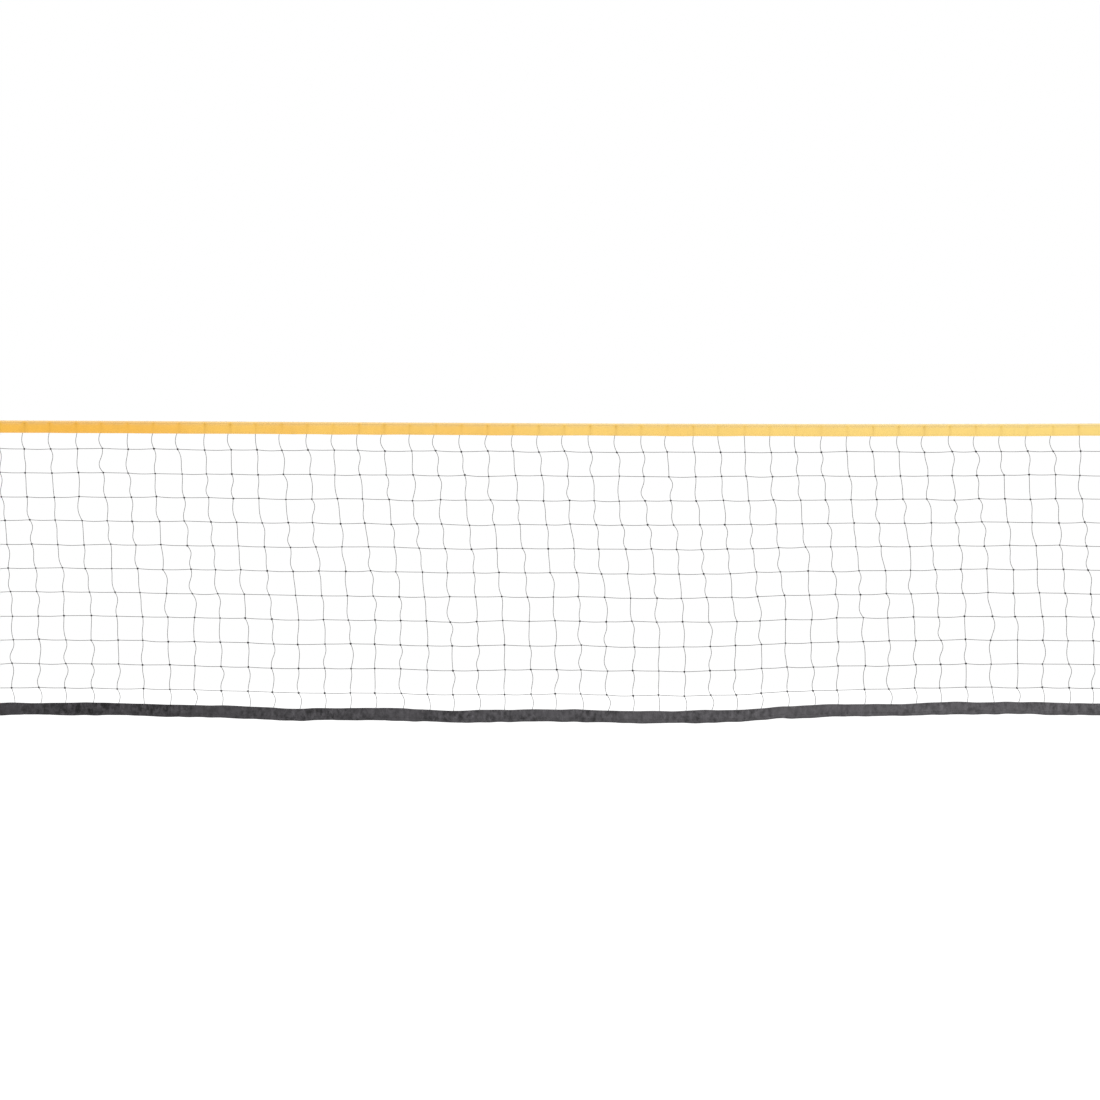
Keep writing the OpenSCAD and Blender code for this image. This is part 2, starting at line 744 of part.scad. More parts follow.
module crank_arm() {
    hub_r = spindle_d / 2 + 5;
    tip_r = grip_pin_r + 6;
    color(STEEL)
        at_spindle()
            translate([0, 0, crank_low]) {
                linear_extrude(crank_t)
                    union() {
                        circle(hub_r, $fn = 48);
                        translate([0, -crank_len]) circle(tip_r, $fn = 48);
                        polygon([[hub_r, 0], [tip_r, -crank_len], [-tip_r, -crank_len], [-hub_r, 0]]);
                    }
                translate([0, -crank_len, 0]) {
                    cylinder(r = grip_pin_r, h = crank_t + grip_len + 4, $fn = 32);
                    translate([0, 0, crank_t + grip_len + 2 * run]) cylinder(r = grip_pin_r + 3, h = 3.5, $fn = 32);
                }
            }
}

// Barrel-shaped grip that turns on the arm's pin
module crank_grip() {
    end_r = grip_pin_r + 6;
    swell = 4;
    color(BLACK)
        at_spindle()
            translate([0, -crank_len, crank_low + crank_t + run])
                rotate_extrude($fn = 48)
                    polygon(concat([[grip_pin_r + run, 0]],
                        [for (k = [0 : 10]) [end_r + swell * sin(180 * k / 10), grip_len * k / 10]],
                        [[grip_pin_r + run, grip_len]]));
}

// ---------------------------------------------------------------- bases

// Rectangle whose two upper corners are rounded
module arched(w, h, r) {
    translate([-w / 2, -h / 2]) square([w, h - r]);
    translate([-w / 2 + r, 0]) square([w - 2 * r, h / 2]);
    for (x = [-1, 1]) translate([x * (w / 2 - r), h / 2 - r]) circle(r, $fn = 64);
}

// Outer form of the tank: its plan and its two upright profiles, cut from each other
module tank_blank() {
    depth = tank_h - foot_h;
    translate([tank_middle, 0, foot_h])
        intersection() {
            linear_extrude(depth) rounded_rect(tank_l, tank_w, tank_corner);
            translate([0, tank_w, depth / 2])
                rotate([90, 0, 0]) linear_extrude(2 * tank_w) arched(tank_l, depth, tank_shoulder);
            translate([-tank_l, 0, depth / 2])
                rotate([90, 0, 90]) linear_extrude(2 * tank_l) arched(tank_w, depth, tank_shoulder);
        }
}

// Water tank of the base, with the pole's socket, ribs on its deck, a filler neck and two wheel arches
module base_tank(side) {
    socket_r = lower_r + 20;
    socket_h = 26;
    flute_r = 12;
    flute_sink = 8;
    flute_x0 = lower_r + 60;
    flute_x1 = tank_l - tank_inboard - tank_shoulder - 30;
    seam_z = foot_h + 60;
    seam_out = 1.5;
    grip_w = 130;
    grip_h = 36;
    grip_deep = 26;
    color(CHARCOAL)
        at_pole(side)
            difference() {
                union() {
                    tank_blank();
                    translate([tank_middle, 0, seam_z])
                        linear_extrude(2 * seam_out)
                            rounded_rect(tank_l + 2 * seam_out, tank_w + 2 * seam_out, tank_corner + seam_out);
                    translate([0, 0, deck_z - root]) cylinder(r = socket_r, h = root + socket_h, $fn = 64);
                    translate([0, 0, deck_z - root]) cylinder(r = socket_r + 14, h = root + 8, $fn = 64);
                    translate([neck_x, neck_y, deck_z - root]) cylinder(r = neck_r, h = root + neck_h, $fn = 48);
                }
                translate([grip_deep - tank_inboard, 0, seam_z + grip_h])
                    rotate([90, 0, -90]) linear_extrude(2 * grip_deep) rounded_rect(grip_w, grip_h, grip_h / 3);
                translate([0, 0, tube_seat]) cylinder(r = lower_r + fit, h = tank_h + socket_h, $fn = 64);
                for (y = [-2 : 2])
                    translate([flute_x0, y * 48, deck_z + flute_r - flute_sink])
                        rotate([0, 90, 0]) cylinder(r = flute_r, h = flute_x1 - flute_x0, $fn = 48);
                for (y = [-1, 1])
                    translate([wheel_x, y > 0 ? arch_y : -arch_y - tank_w, wheel_z]) rod_y(arch_r, 0, tank_w);
                translate([wheel_x, 0, wheel_z]) rod_y(axle_r + fit, -tank_w, tank_w);
                for (y = [-1, 1], dy = foot_bolts)
                    translate([strut_foot_x, y * (strut_foot_y + dy), deck_z - foot_bolt_len - 2])
                        cylinder(r = bolt_hole_r, h = 2 * foot_bolt_len, $fn = 32);
            }
}

module rubber_feet() {
    inset = 95;
    foot_d = 48;
    xs = [inset - tank_inboard, tank_l - tank_inboard - inset - 40];
    color(BLACK)
        for (side = ["left", "right"])
            at_pole(side)
                for (x = xs, y = [-1, 1])
                    translate([x, y * (tank_w / 2 - inset), 0]) cylinder(d = foot_d, h = foot_h, $fn = 48);
}

module filler_cap(side) {
    cap_h = 20;
    ribs = 12;
    color(BLACK)
        at_pole(side)
            translate([neck_x, neck_y, deck_z + 1])
                difference() {
                    union() {
                        cylinder(d = cap_d, h = cap_h - 4, $fn = 64);
                        translate([0, 0, cap_h - 4 - eps]) cylinder(d1 = cap_d, d2 = cap_d - 8, h = 4, $fn = 64);
                        translate([-cap_d * 0.3, -4, cap_h - 2]) cube([cap_d * 0.6, 8, 10]);
                    }
                    translate([0, 0, -1]) cylinder(r = neck_r + run, h = neck_h + 1, $fn = 48);
                    for (k = [0 : ribs - 1])
                        rotate(k * 360 / ribs)
                            translate([cap_d / 2 + 1.2, 0, -1]) cylinder(r = 3, h = cap_h, $fn = 24);
                }
}

module axle(side) {
    end = wheel_y + wheel_w / 2 + 2;
    color(STEEL)
        at_pole(side)
            translate([wheel_x, 0, wheel_z]) {
                rod_y(axle_r, -end - 1, end + 1);
                for (y = [-1, 1]) translate([0, y * (end + 2.5), 0]) rod_y(axle_r + 5, -1.8, 1.8);
            }
}

// Tyre, rim with spokes and hub of one transport wheel
module transport_wheel(side, y) {
    spokes = 5;
    hub_r = axle_r + 8;
    tread = 12;
    color(BLACK)
        at_pole(side)
            translate([wheel_x, y * wheel_y, wheel_z])
                rotate([90, 0, 0])
                    difference() {
                        union() {
                            rotate_extrude($fn = 96)
                                polygon([[hub_r - 3, -wheel_w / 2], [hub_r, -wheel_w / 2], [hub_r, -6], [wheel_r - tread, -6],
                                    [wheel_r - tread, -wheel_w / 2 + 3], [wheel_r - 5, -wheel_w / 2 + 3],
                                    [wheel_r, -wheel_w / 2 + 9], [wheel_r, wheel_w / 2 - 9],
                                    [wheel_r - 5, wheel_w / 2 - 3], [wheel_r - tread, wheel_w / 2 - 3],
                                    [wheel_r - tread, 6], [hub_r, 6], [hub_r, wheel_w / 2], [hub_r - 3, wheel_w / 2]]);
                            translate([0, 0, -wheel_w / 2]) cylinder(r = hub_r - 2, h = wheel_w, $fn = 48);
                        }
                        translate([0, 0, -wheel_w]) cylinder(r = axle_r + run, h = 2 * wheel_w, $fn = 48);
                        for (k = [0 : spokes - 1])
                            rotate(k * 360 / spokes)
                                translate([(hub_r + wheel_r - tread) / 2, 0, -10]) cylinder(r = 8, h = 20, $fn = 32);
                    }
}

module strut_collar(side) {
    outer_r = lower_r + 5;
    slot = 2 * (strut_ear_y - strut_ear_t);
    color(STEEL)
        at_pole(side)
            difference() {
                union() {
                    translate([0, 0, strut_top - strut_collar_h / 2]) cylinder(r = outer_r, h = strut_collar_h, $fn = 64);
                    translate([0, -strut_ear_y, strut_top - strut_collar_h / 2])
                        cube([strut_ear_x + 14, 2 * strut_ear_y, strut_collar_h]);
                }
                translate([0, 0, strut_top - strut_collar_h])
                    cylinder(r = lower_r + fit, h = 2 * strut_collar_h, $fn = 64);
                translate([lower_r - 4, -slot / 2, strut_top - strut_collar_h])
                    cube([strut_ear_x, slot, 2 * strut_collar_h]);
                translate([strut_ear_x, 0, strut_top]) rod_y(bolt_hole_r, -2 * strut_ear_y, 2 * strut_ear_y);
            }
}

// Tube with a flat foot on the deck and a bent tab, welded into its upper end, against the strut collar
module strut(side, y) {
    eye_y = strut_ear_y + fit;
    eye_r = 13;
    tab_w = 2 * eye_r - 1.5;
    tab_flat = 20;      // from the bolt to the tab's bend
    tube_from = 10;     // from the bend to the tube's end
    tab_in = 20;        // how far the tab goes into the tube
    middle = eye_y + plate_t / 2;
    run_x = strut_foot_x - strut_ear_x;
    drop = strut_top - deck_z;
    fold = atan2(drop, run_x);
    reach = norm([run_x, drop]) - tab_flat;
    lean = atan2(strut_foot_y - middle, reach);
    length = norm([reach, strut_foot_y - middle]);
    axis = [cos(lean), sin(lean)];
    across = plate_t / 2 * [-sin(lean), cos(lean)];
    mitre = plate_t / 2 * [-tan(lean / 2), 1];
    bend = [tab_flat, middle];
    tip = bend + (tube_from + tab_in) * axis;
    color(CHARCOAL)
        at_pole(side)
            mirror([0, y < 0 ? 1 : 0, 0])
                difference() {
                    union() {
                        translate([strut_ear_x, 0, strut_top])
                            rotate([0, fold, 0]) {
                                translate([bend[0], bend[1], 0])
                                    rotate([0, 90, lean])
                                        translate([0, 0, tube_from])
                                            cylinder(r = strut_r, h = length - tube_from + strut_r, $fn = 48);
                                linear_extrude(tab_w, center = true)
                                    polygon([[0, eye_y], bend - mitre, tip - across,
                                        tip + across, bend + mitre, [0, eye_y + plate_t]]);
                                rod_y(eye_r, eye_y, eye_y + plate_t);
                            }
                        translate([strut_foot_x, strut_foot_y, deck_z + plate_t / 2])
                            cube([foot_plate[0], foot_plate[1], plate_t], center = true);
                    }
                    translate([0, 0, deck_z - drop / 2]) cube([2 * tank_l, 2 * tank_w, drop], center = true);
                    translate([strut_ear_x, 0, strut_top]) rod_y(bolt_hole_r, 0, 3 * middle);
                    for (dy = foot_bolts)
                        translate([strut_foot_x, strut_foot_y + dy, deck_z - plate_t])
                            cylinder(r = bolt_hole_r, h = 3 * plate_t, $fn = 32);
                }
}

// Bolts of the struts: one through each strut collar, and two in each foot
module strut_bolts() {
    color(STEEL)
        for (side = ["left", "right"])
            at_pole(side) {
                translate([strut_ear_x, 0, strut_top]) through_bolt(strut_bolt_d, strut_ear_y + fit + plate_t);
                for (y = [-1, 1], dy = foot_bolts)
                    translate([strut_foot_x, y * (strut_foot_y + dy), deck_z + plate_t])
                        hex_bolt(strut_bolt_d, foot_bolt_len);
            }
}

// ---------------------------------------------------------------- what each node draws

module side_part(side, name) {
    if (name == "base_tank") base_tank(side);
    if (name == "filler_cap") filler_cap(side);
    if (name == "axle") axle(side);
    if (name == "front_wheel") transport_wheel(side, -1);
    if (name == "back_wheel") transport_wheel(side, 1);
    if (name == "lower_tube") lower_tube(side);
    if (name == "strut_collar") strut_collar(side);
    if (name == "front_strut") strut(side, -1);
    if (name == "back_strut") strut(side, 1);
    if (name == "clamp_collar") clamp_collar(side);
    if (name == "clamp_knob") clamp_knob(side);
    if (name == "upper_tube") upper_tube(side);
    if (name == "top_cap") top_cap(side);
    if (name == "bottom_bracket") anchor_bracket(side, strap_z_bottom);
    if (name == "bottom_pin") anchor_pin(side, strap_z_bottom);
    if (name == "bracket_bolts") bracket_bolts(side);
    if (name == "side_band") side_band(side);
    if (name == "dowel") dowel(side);
    if (name == "top_strap" && side == "left") anchor_strap(side, strap_z_top);
    if (name == "top_strap" && side == "right") tension_strap();
    if (name == "bottom_strap") anchor_strap(side, strap_z_bottom);
}

for (side = ["left", "right"]) for (name = SIDE_NODES)
    side_part(side, name);
anchor_bracket("left", strap_z_top);  // left_top_bracket
anchor_pin("left", strap_z_top);  // left_top_pin
ratchet_frame();
ratchet_spindle();
ratchet_wheel();
strap_roll();
ratchet_pawl();
pawl_pin();
crank_arm();
crank_grip();
top_tape();
bottom_tape();
head_cord();
foot_cord();
netting();
strut_bolts();
rubber_feet();
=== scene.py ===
"""Volleyball net on two free-standing poles: its netting, tapes, bands and straps, and every finish."""

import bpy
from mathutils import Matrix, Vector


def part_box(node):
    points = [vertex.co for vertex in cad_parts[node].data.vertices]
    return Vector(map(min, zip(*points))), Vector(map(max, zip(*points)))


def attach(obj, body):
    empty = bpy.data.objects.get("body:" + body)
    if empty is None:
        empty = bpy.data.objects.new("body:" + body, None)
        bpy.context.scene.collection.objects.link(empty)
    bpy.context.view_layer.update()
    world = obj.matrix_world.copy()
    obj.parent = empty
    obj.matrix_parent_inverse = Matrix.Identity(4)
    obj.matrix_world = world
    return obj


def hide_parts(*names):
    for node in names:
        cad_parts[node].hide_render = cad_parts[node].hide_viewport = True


bl_info = {
    "name": "Volleyball Net on Poles",
    "version": (1, 0, 0),
    "blender": (4, 5, 0),
    "location": "3D View > Sidebar > Net",
    "description": "Makes the netting, the sewn tapes, the straps and every finish of a volleyball net",
    "category": "Object",
}

import math

import bpy
import numpy as np
from mathutils import Vector

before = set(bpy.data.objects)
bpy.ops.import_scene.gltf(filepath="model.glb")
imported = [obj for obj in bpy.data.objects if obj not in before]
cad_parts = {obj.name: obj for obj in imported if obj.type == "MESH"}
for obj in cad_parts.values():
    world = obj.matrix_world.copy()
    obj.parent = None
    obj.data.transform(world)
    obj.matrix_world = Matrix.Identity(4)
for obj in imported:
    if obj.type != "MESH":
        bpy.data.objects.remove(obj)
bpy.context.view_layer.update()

SIDES = {"left": -1, "right": 1}  # the two poles, and which way along x each one stands
NET_BODY = "left_mast"            # the body that the whole net rides on
X, Y, Z = range(3)
TURN = 2 * math.pi


# ------------ values that a user would change

def linear(code):
    """Linear colour of a web colour such as F4BC55."""
    parts = [int(code[i:i + 2], 16) / 255 for i in (0, 2, 4)]
    return [c / 12.92 if c <= 0.04045 else ((c + 0.055) / 1.055) ** 2.4 for c in parts] + [1.0]


def size(label, about, default):
    """A length in metres."""
    return bpy.props.FloatProperty(name=label, description=about, default=default, min=0.0, precision=4,
                                   subtype="DISTANCE", unit="LENGTH")


def count(label, about, default):
    """A whole number."""
    return bpy.props.IntProperty(name=label, description=about, default=default, min=1)


def power(label, about, default):
    """Strength of a light."""
    return bpy.props.FloatProperty(name=label, description=about, default=default, min=0.0)


def tint(label, about, code):
    """A colour."""
    return bpy.props.FloatVectorProperty(name=label, description=about, default=linear(code), size=4, min=0.0,
                                         max=1.0, subtype="COLOR")


class NettingSizes(bpy.types.PropertyGroup):
    """Sizes of the netting."""

    columns: count("Columns", "Meshes along the net", 68)
    rows: count("Rows", "Meshes from the head cord to the foot cord", 12)
    twine: size("Twine", "Thickness of the twine", 0.0018)
    knot: size("Knot", "Radius of a knot, to the middle of its twine", 0.0025)
    lean: size("Lean", "How far the columns drift sideways on the way down", 0.058)
    drawn: size("Drawn", "How much the netting's own weight draws out its upper rows", 0.021)
    slack: size("Slack", "How far a leg of a mesh bows aside in its middle", 0.0042)
    curl: size("Curl", "How far a leg of a mesh swings to one side and back to the other", 0.0024)
    jitter: size("Jitter", "How far the knots lie from an even grid", 0.0024)
    seed: count("Seed", "Start of the random draws", 7)


class ClothSizes(bpy.types.PropertyGroup):
    """Sizes of the tapes, bands and straps."""

    cloth: size("Cloth", "Thickness of the tapes' cloth", 0.0009)
    head_ripple: size("Head ripple", "Height of the ripples of the top tape", 0.0007)
    foot_ripple: size("Foot ripple", "Height of the ripples of the bottom tape", 0.0021)
    slump: size("Slump", "How far the bottom tape's fold hangs below its even line where it is slack", 0.0032)
    pucker: size("Pucker", "Height of the small pleats of the bottom tape", 0.0007)
    stitch: size("Stitch", "Length of one stitch", 0.0045)
    stitch_gap: size("Stitch gap", "Distance from one stitch to the next", 0.0065)
    thread: size("Thread", "Thickness of the sewing thread", 0.0007)
    webbing: size("Webbing", "Thickness of the straps' webbing", 0.0015)
    cord: size("Cord", "Thickness of the head cord and the foot cord", 0.006)


class FinishColours(bpy.types.PropertyGroup):
    """Colours of the finishes."""

    head_left: tint("Head cloth, left", "Top tape at the left end", "F7B53C")
    head_right: tint("Head cloth, right", "Top tape at the right end", "FCD87E")
    # painted highlight along the top tape's fold
    head_fold_highlight: tint("Worn head cloth", "Top tape along its fold", "F6EACB")
    dark_left: tint("Dark cloth, left", "Bottom tape and side band at the left end", "373538")
    dark_right: tint("Dark cloth, right", "Bottom tape and side band at the right end", "605E61")
    twine: tint("Twine", "Netting twine", "2B292C")
    cord: tint("Cord", "Braided cord in the tapes", "E4E2DC")
    webbing: tint("Webbing", "Straps", "2A2A2D")
    thread: tint("Thread", "Sewing thread of the dark pieces", "1F1E20")
    head_thread: tint("Head thread", "Sewing thread of the top tape", "E9C98A")
    dowel: tint("Dowel", "Glass-fibre dowels", "DCD5BE")
    aluminium: tint("Aluminium", "Upper tubes", "B0B2B5")
    paint: tint("Paint", "Powder-coated tubes and struts", "38373A")
    zinc: tint("Zinc", "Plated steel", "A9ABAD")
    plastic: tint("Plastic", "Moulded knobs, caps and grips", "202023")
    tank: tint("Tank", "Blow-moulded base tanks", "403F42")
    wheel: tint("Wheel", "Transport wheels", "2A2A2C")
    rubber: tint("Rubber", "Feet", "1E1E1F")
    dust: tint("Dust", "What settles on plastic and rubber that faces up", "A7A39A")
    tarnish: tint("Tarnish", "Where the zinc has turned dull", "A9A392")


class StudioSettings(bpy.types.PropertyGroup):
    """The camera, the lamps and the floor."""

    view_width: size("View width", "Width of what the camera shows at the net", 3.74)
    aim: size("Aim", "Height of the middle of the view", 1.987)
    aside: bpy.props.FloatProperty(
        name="Aside", description="How far along the net the middle of the view lies", default=-0.049,
        precision=4, subtype="DISTANCE", unit="LENGTH")
    lens: bpy.props.FloatProperty(
        name="Lens", description="Focal length", default=135.0, min=20.0,
        subtype="DISTANCE_CAMERA", unit="CAMERA")
    fill: power("Fill", "Strength of the even light all round", 0.62)
    key: power("Key", "Strength of the main lamp", 1.4)
    back: power("Back", "Strength of the lamp behind the net", 0.7)
    floor: tint("Floor", "Studio floor", "E6E6E6")
    floor_size: size("Floor size", "Length of a side of the floor", 90.0)


# ------------ lines and sections

def circle(radius, sides, start=0.0):
    """Points of a round section."""
    a = start + np.arange(sides) * TURN / sides
    return radius * np.column_stack([np.cos(a), np.sin(a)])


def arc(radius, start, end, steps, middle=(0.0, 0.0)):
    """Points of an arc, angles in degrees."""
    a = np.radians(np.linspace(start, end, steps + 1))
    return np.column_stack([middle[0] + radius * np.cos(a), middle[1] + radius * np.sin(a)])


def line(a, b, steps):
    """Points from a towards b, the last one left out."""
    t = np.linspace(0, 1, steps, endpoint=False)[:, None]
    return np.asarray(a) + t * (np.asarray(b) - np.asarray(a))


def strip_section(thick, width, spread=10, round_steps=4):
    """Section of webbing, [thick] by [width], its edges rounded."""
    edge = arc(thick / 2, 0, 180, round_steps, (0, width / 2 - thick / 2))
    heights = np.linspace(edge[-1, 1], -edge[-1, 1], spread + 1)[1:-1]
    face = np.column_stack([np.full(spread - 1, -thick / 2), heights])
    half = np.concatenate([edge, face])
    return np.concatenate([half, -half])


def running(points):
    """Distance of each point from the first, round to the first again."""
    steps = np.diff(points, axis=0, append=points[:1])
    return np.concatenate([[0], np.cumsum(np.linalg.norm(steps, axis=1))])


def ease(share):
    """From 0 to 1 with a soft start and a soft end."""
    return share * share * (3 - 2 * share)


def waves(seed, shortest, longest, number=9, height=0.7):
    """A smooth random line over x: a sum of waves between two wavelengths, [height] is its rms."""
    draw = np.random.RandomState(seed)
    lengths = np.exp(draw.uniform(math.log(shortest), math.log(longest), number))
    heights = draw.uniform(0.4, 1.0, number) * (lengths / longest) ** 0.5
    starts = draw.uniform(0, TURN, number)
    scale = math.sqrt(2 / np.sum(heights ** 2)) * height

    def at(x):
        """Height of the line at x."""
        x = np.asarray(x, float)[..., None]
        return scale * np.sum(heights * np.sin(TURN * x / lengths + starts), axis=-1)
    return at


# ------------ meshes

class Piece:
    """Points, polygons and weave coordinates, collected until they become one mesh."""

    def __init__(self):
        self.points, self.loops, self.totals, self.weave, self.press = [], [], [], [], []
        self.count = 0

    def add(self, points, polygons, weave, press=None):
        """Adds points, and polygons with the same number of corners each.

        [weave] is (along, across) in metres for each corner, and [press] how hard the twine presses on
        each point, which sets the painted twine shadow: 1 is hard, and below 0 the cloth takes its fold
        colour, a painted highlight on the top tape.
        """
        points = np.asarray(points, float).reshape(-1, 3)
        polygons = np.asarray(polygons, int)
        self.loops.append(polygons.ravel() + self.count)
        self.totals.append(np.full(len(polygons), polygons.shape[1]))
        self.weave.append(np.asarray(weave, float).reshape(-1, 2))
        self.points.append(points)
        self.press.append(np.zeros(len(points)) if press is None else np.asarray(press, float).ravel())
        self.count += len(points)

    def cap(self, ring):
        """Closes an open end with one polygon over the points numbered [ring]."""
        self.loops.append(np.asarray(ring, int))
        self.totals.append(np.array([len(ring)]))
        self.weave.append(np.zeros((len(ring), 2)))

    def make(self, name, slot, smooth, finish=None, body=NET_BODY):
        """The finished object, in its slot's finish or another; edges over [smooth] degrees stay sharp."""
        mesh = bpy.data.meshes.new(name)
        points = np.vstack(self.points)
        loops, totals = np.concatenate(self.loops), np.concatenate(self.totals)
        starts = np.concatenate([[0], np.cumsum(totals)[:-1]])
        mesh.vertices.add(len(points))
        mesh.vertices.foreach_set("co", points.astype(np.float32).ravel())
        mesh.loops.add(len(loops))
        mesh.loops.foreach_set("vertex_index", loops.astype(np.int32))
        mesh.polygons.add(len(totals))
        mesh.polygons.foreach_set("loop_start", starts.astype(np.int32))
        mesh.polygons.foreach_set("loop_total", totals.astype(np.int32))
        mesh.update(calc_edges=True)
        weave = mesh.uv_layers.new(name="weave")
        weave.data.foreach_set("uv", np.vstack(self.weave).astype(np.float32).ravel())
        press = mesh.attributes.new("press", "FLOAT", "POINT")
        press.data.foreach_set("value", np.concatenate(self.press).astype(np.float32))
        mesh.validate()
        mesh.shade_smooth()
        mesh.set_sharp_from_angle(angle=math.radians(smooth))
        mesh.materials.append(finishes()[finish or slot])
        piece = bpy.data.objects.new(name, mesh)
        bpy.context.scene.collection.objects.link(piece)
        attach(piece, body)
        return piece


def lattice(along, around, rings, closed=False):
    """Quads over rings of points, and (along, around) of each corner as its place in the weave."""
    m = len(around) - 1
    ring, spot = np.meshgrid(np.arange(rings if closed else rings - 1), np.arange(m), indexing="ij")
    places = (ring, spot), (ring, spot + 1), (ring + 1, spot + 1), (ring + 1, spot)
    quads = np.stack([r % rings * m + s % m for r, s in places], axis=-1)
    weave = np.stack([np.stack([along[r], around[s]], axis=-1) for r, s in places], axis=2)
    return quads.reshape(-1, 4), weave.reshape(-1, 4, 2)


def frames(paths, hint):
    """Side and up directions along paths; up stays as near to [hint] as it can."""
    tangent = np.gradient(paths, axis=1)
    tangent /= np.linalg.norm(tangent, axis=2, keepdims=True)
    side = np.cross(tangent, np.broadcast_to(hint, tangent.shape))
    side /= np.linalg.norm(side, axis=2, keepdims=True)
    return side, np.cross(side, tangent)


def sweep(piece, paths, section, hint=(0, 1, 0), closed=False):
    """Carries a closed section along one path or many, with caps on open ends.

    [section] is (points, 2), or (stations, points, 2) where it changes along the way.
    """
    paths = np.asarray(paths, float)
    paths = paths[None] if paths.ndim == 2 else paths
    section = np.asarray(section, float)
    many, n, m = len(paths), paths.shape[1], section.shape[-2]
    section = np.broadcast_to(section, (n, m, 2))
    if closed:
        ahead = np.concatenate([paths[:, -1:], paths, paths[:, :1]], axis=1)
        side, up = (d[:, 1:-1] for d in frames(ahead, hint))
    else:
        side, up = frames(paths, hint)
    points = (paths[:, :, None] + section[None, ..., :1] * side[:, :, None]
              + section[None, ..., 1:] * up[:, :, None])
    quads, weave = lattice(running(paths[0]), running(section[0]), n, closed)
    quads = quads[None] + (np.arange(many) * n * m)[:, None, None]
    first = piece.count
    piece.add(points, quads.reshape(-1, 4), np.tile(weave.reshape(-1, 2), (many, 1)))
    if not closed:
        for k in range(many):
            start = first + k * n * m
            piece.cap(range(start + m - 1, start - 1, -1))
            piece.cap(range(start + (n - 1) * m, start + n * m))


def upright(flat, z):
    """Points (x, y) at height z, or at heights z."""
    return np.column_stack([flat, np.full(len(flat), z)])


# ------------ what the frame says

SAME = 2e-4  # points of the frame that are nearer than this stand at one place


def span(node, axis):
    """Middle of a CAD node along an axis, and half its length."""
    low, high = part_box(node)
    return (low[axis] + high[axis]) / 2, (high[axis] - low[axis]) / 2


def corners(node):
    """The points of a CAD node."""
    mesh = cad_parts[node].data
    found = np.empty(len(mesh.vertices) * 3)
    mesh.vertices.foreach_get("co", found)
    return found.reshape(-1, 3)


def edge_line(node, pick):
    """Height of a CAD node's upper or lower edge over x; [pick] is max or min."""
    found = corners(node)
    spots = np.unique(found[:, X].round(4))
    heights = [pick(found[abs(found[:, X] - x) < SAME, Z]) for x in spots]
    return lambda x: np.interp(x, spots, heights)


# where the foot of the net hangs below its even line, or above it: middle, width, depth
DIPS = (
    (-0.93, 0.16, 0.0042),
    (-0.38, 0.13, 0.0056),
    (0.03, 0.10, -0.0036),
    (0.72, 0.10, -0.0060),
    (0.92, 0.16, -0.0062),
)


def dip(x):
    """How far the foot of the net hangs below its even line."""
    return sum(depth * np.exp(-((x - middle) / width) ** 2) for middle, width, depth in DIPS)


class NetLines:
    """The lines that the netting hangs between, from the frame."""

    LEANT = 0.8  # the columns have drifted all the way at this share of the way down
    HELD = 4     # power by which the drift dies out towards the side bands

    def __init__(self):
        wire = span("netting", Y)[1]
        self.half = sum(span("netting", X)) - wire
        found = corners("netting")
        end = found[found[:, X] > self.half - wire, Z]
        head, foot = edge_line("top_tape", max), edge_line("bottom_tape", min)
        top_drop = head(self.half) - end.max() + wire
        foot_rise = end.min() + wire - foot(self.half)
        self.top = lambda x: head(x) - top_drop
        self.bottom = lambda x: foot(x) + foot_rise - dip(x)

    def lean(self, x, share):
        """How far the point at [share] of the way down has drifted along the net."""
        held = 1 - np.minimum(1, abs(x) / self.half) ** self.HELD
        return bpy.context.scene.netting_sizes.lean * ease(np.clip(share / self.LEANT, 0, 1)) * held

    def knot(self, x, share):
        """Place (x, z) of the knot of column x at [share] of the way down."""
        px = x + self.lean(x, share)
        drawn = bpy.context.scene.netting_sizes.drawn * math.sqrt(share) * (1 - share) ** 3
        return px, self.top(px) * (1 - share) + self.bottom(px) * share - drawn


# ------------ finishes
# Scales are in cells per metre, and pitches and depths are in metres.

class Nodes:
    """The nodes of a material or a world, with short calls for making them."""

    def __init__(self, owner):
        owner.use_nodes = True
        self.tree = owner.node_tree

    def put(self, value, place):
        """Sets a socket, or links it where the value is another node's."""
        if isinstance(value, bpy.types.NodeSocket):
            self.tree.links.new(value, place)
        elif value is not None:
            place.default_value = value

    def node(self, kind, inputs=None, **settings):
        """A new node; [inputs], by name or number, are values or other nodes' sockets."""
        made = self.tree.nodes.new("ShaderNode" + kind)
        for key, value in settings.items():
            setattr(made, key, value)
        for key, value in (inputs or {}).items():
            self.put(value, made.inputs[key])
        return made

    def math(self, operation, a, b=0.0):
        """Arithmetic on two values."""
        return self.node("Math", {0: a, 1: b}, operation=operation).outputs[0]

    def spread(self, value, low, high, start=0.0, end=1.0):
        """[value] from [low]..[high] to [start]..[end], held at the ends."""
        return self.node("MapRange", {0: value, 1: low, 2: high, 3: start, 4: end}).outputs[0]

    def seen(self, unseen, seen):
        """One value for what the camera, a mirror or glass sees, and another for the rest."""
        rays = self.node("LightPath").outputs
        total = rays["Is Camera Ray"]
        for label in ("Is Glossy Ray", "Is Transmission Ray"):
            total = self.node("Math", {0: total, 1: rays[label]}, operation="ADD", use_clamp=True).outputs[0]
        return self.spread(total, 0, 1, unseen, seen)


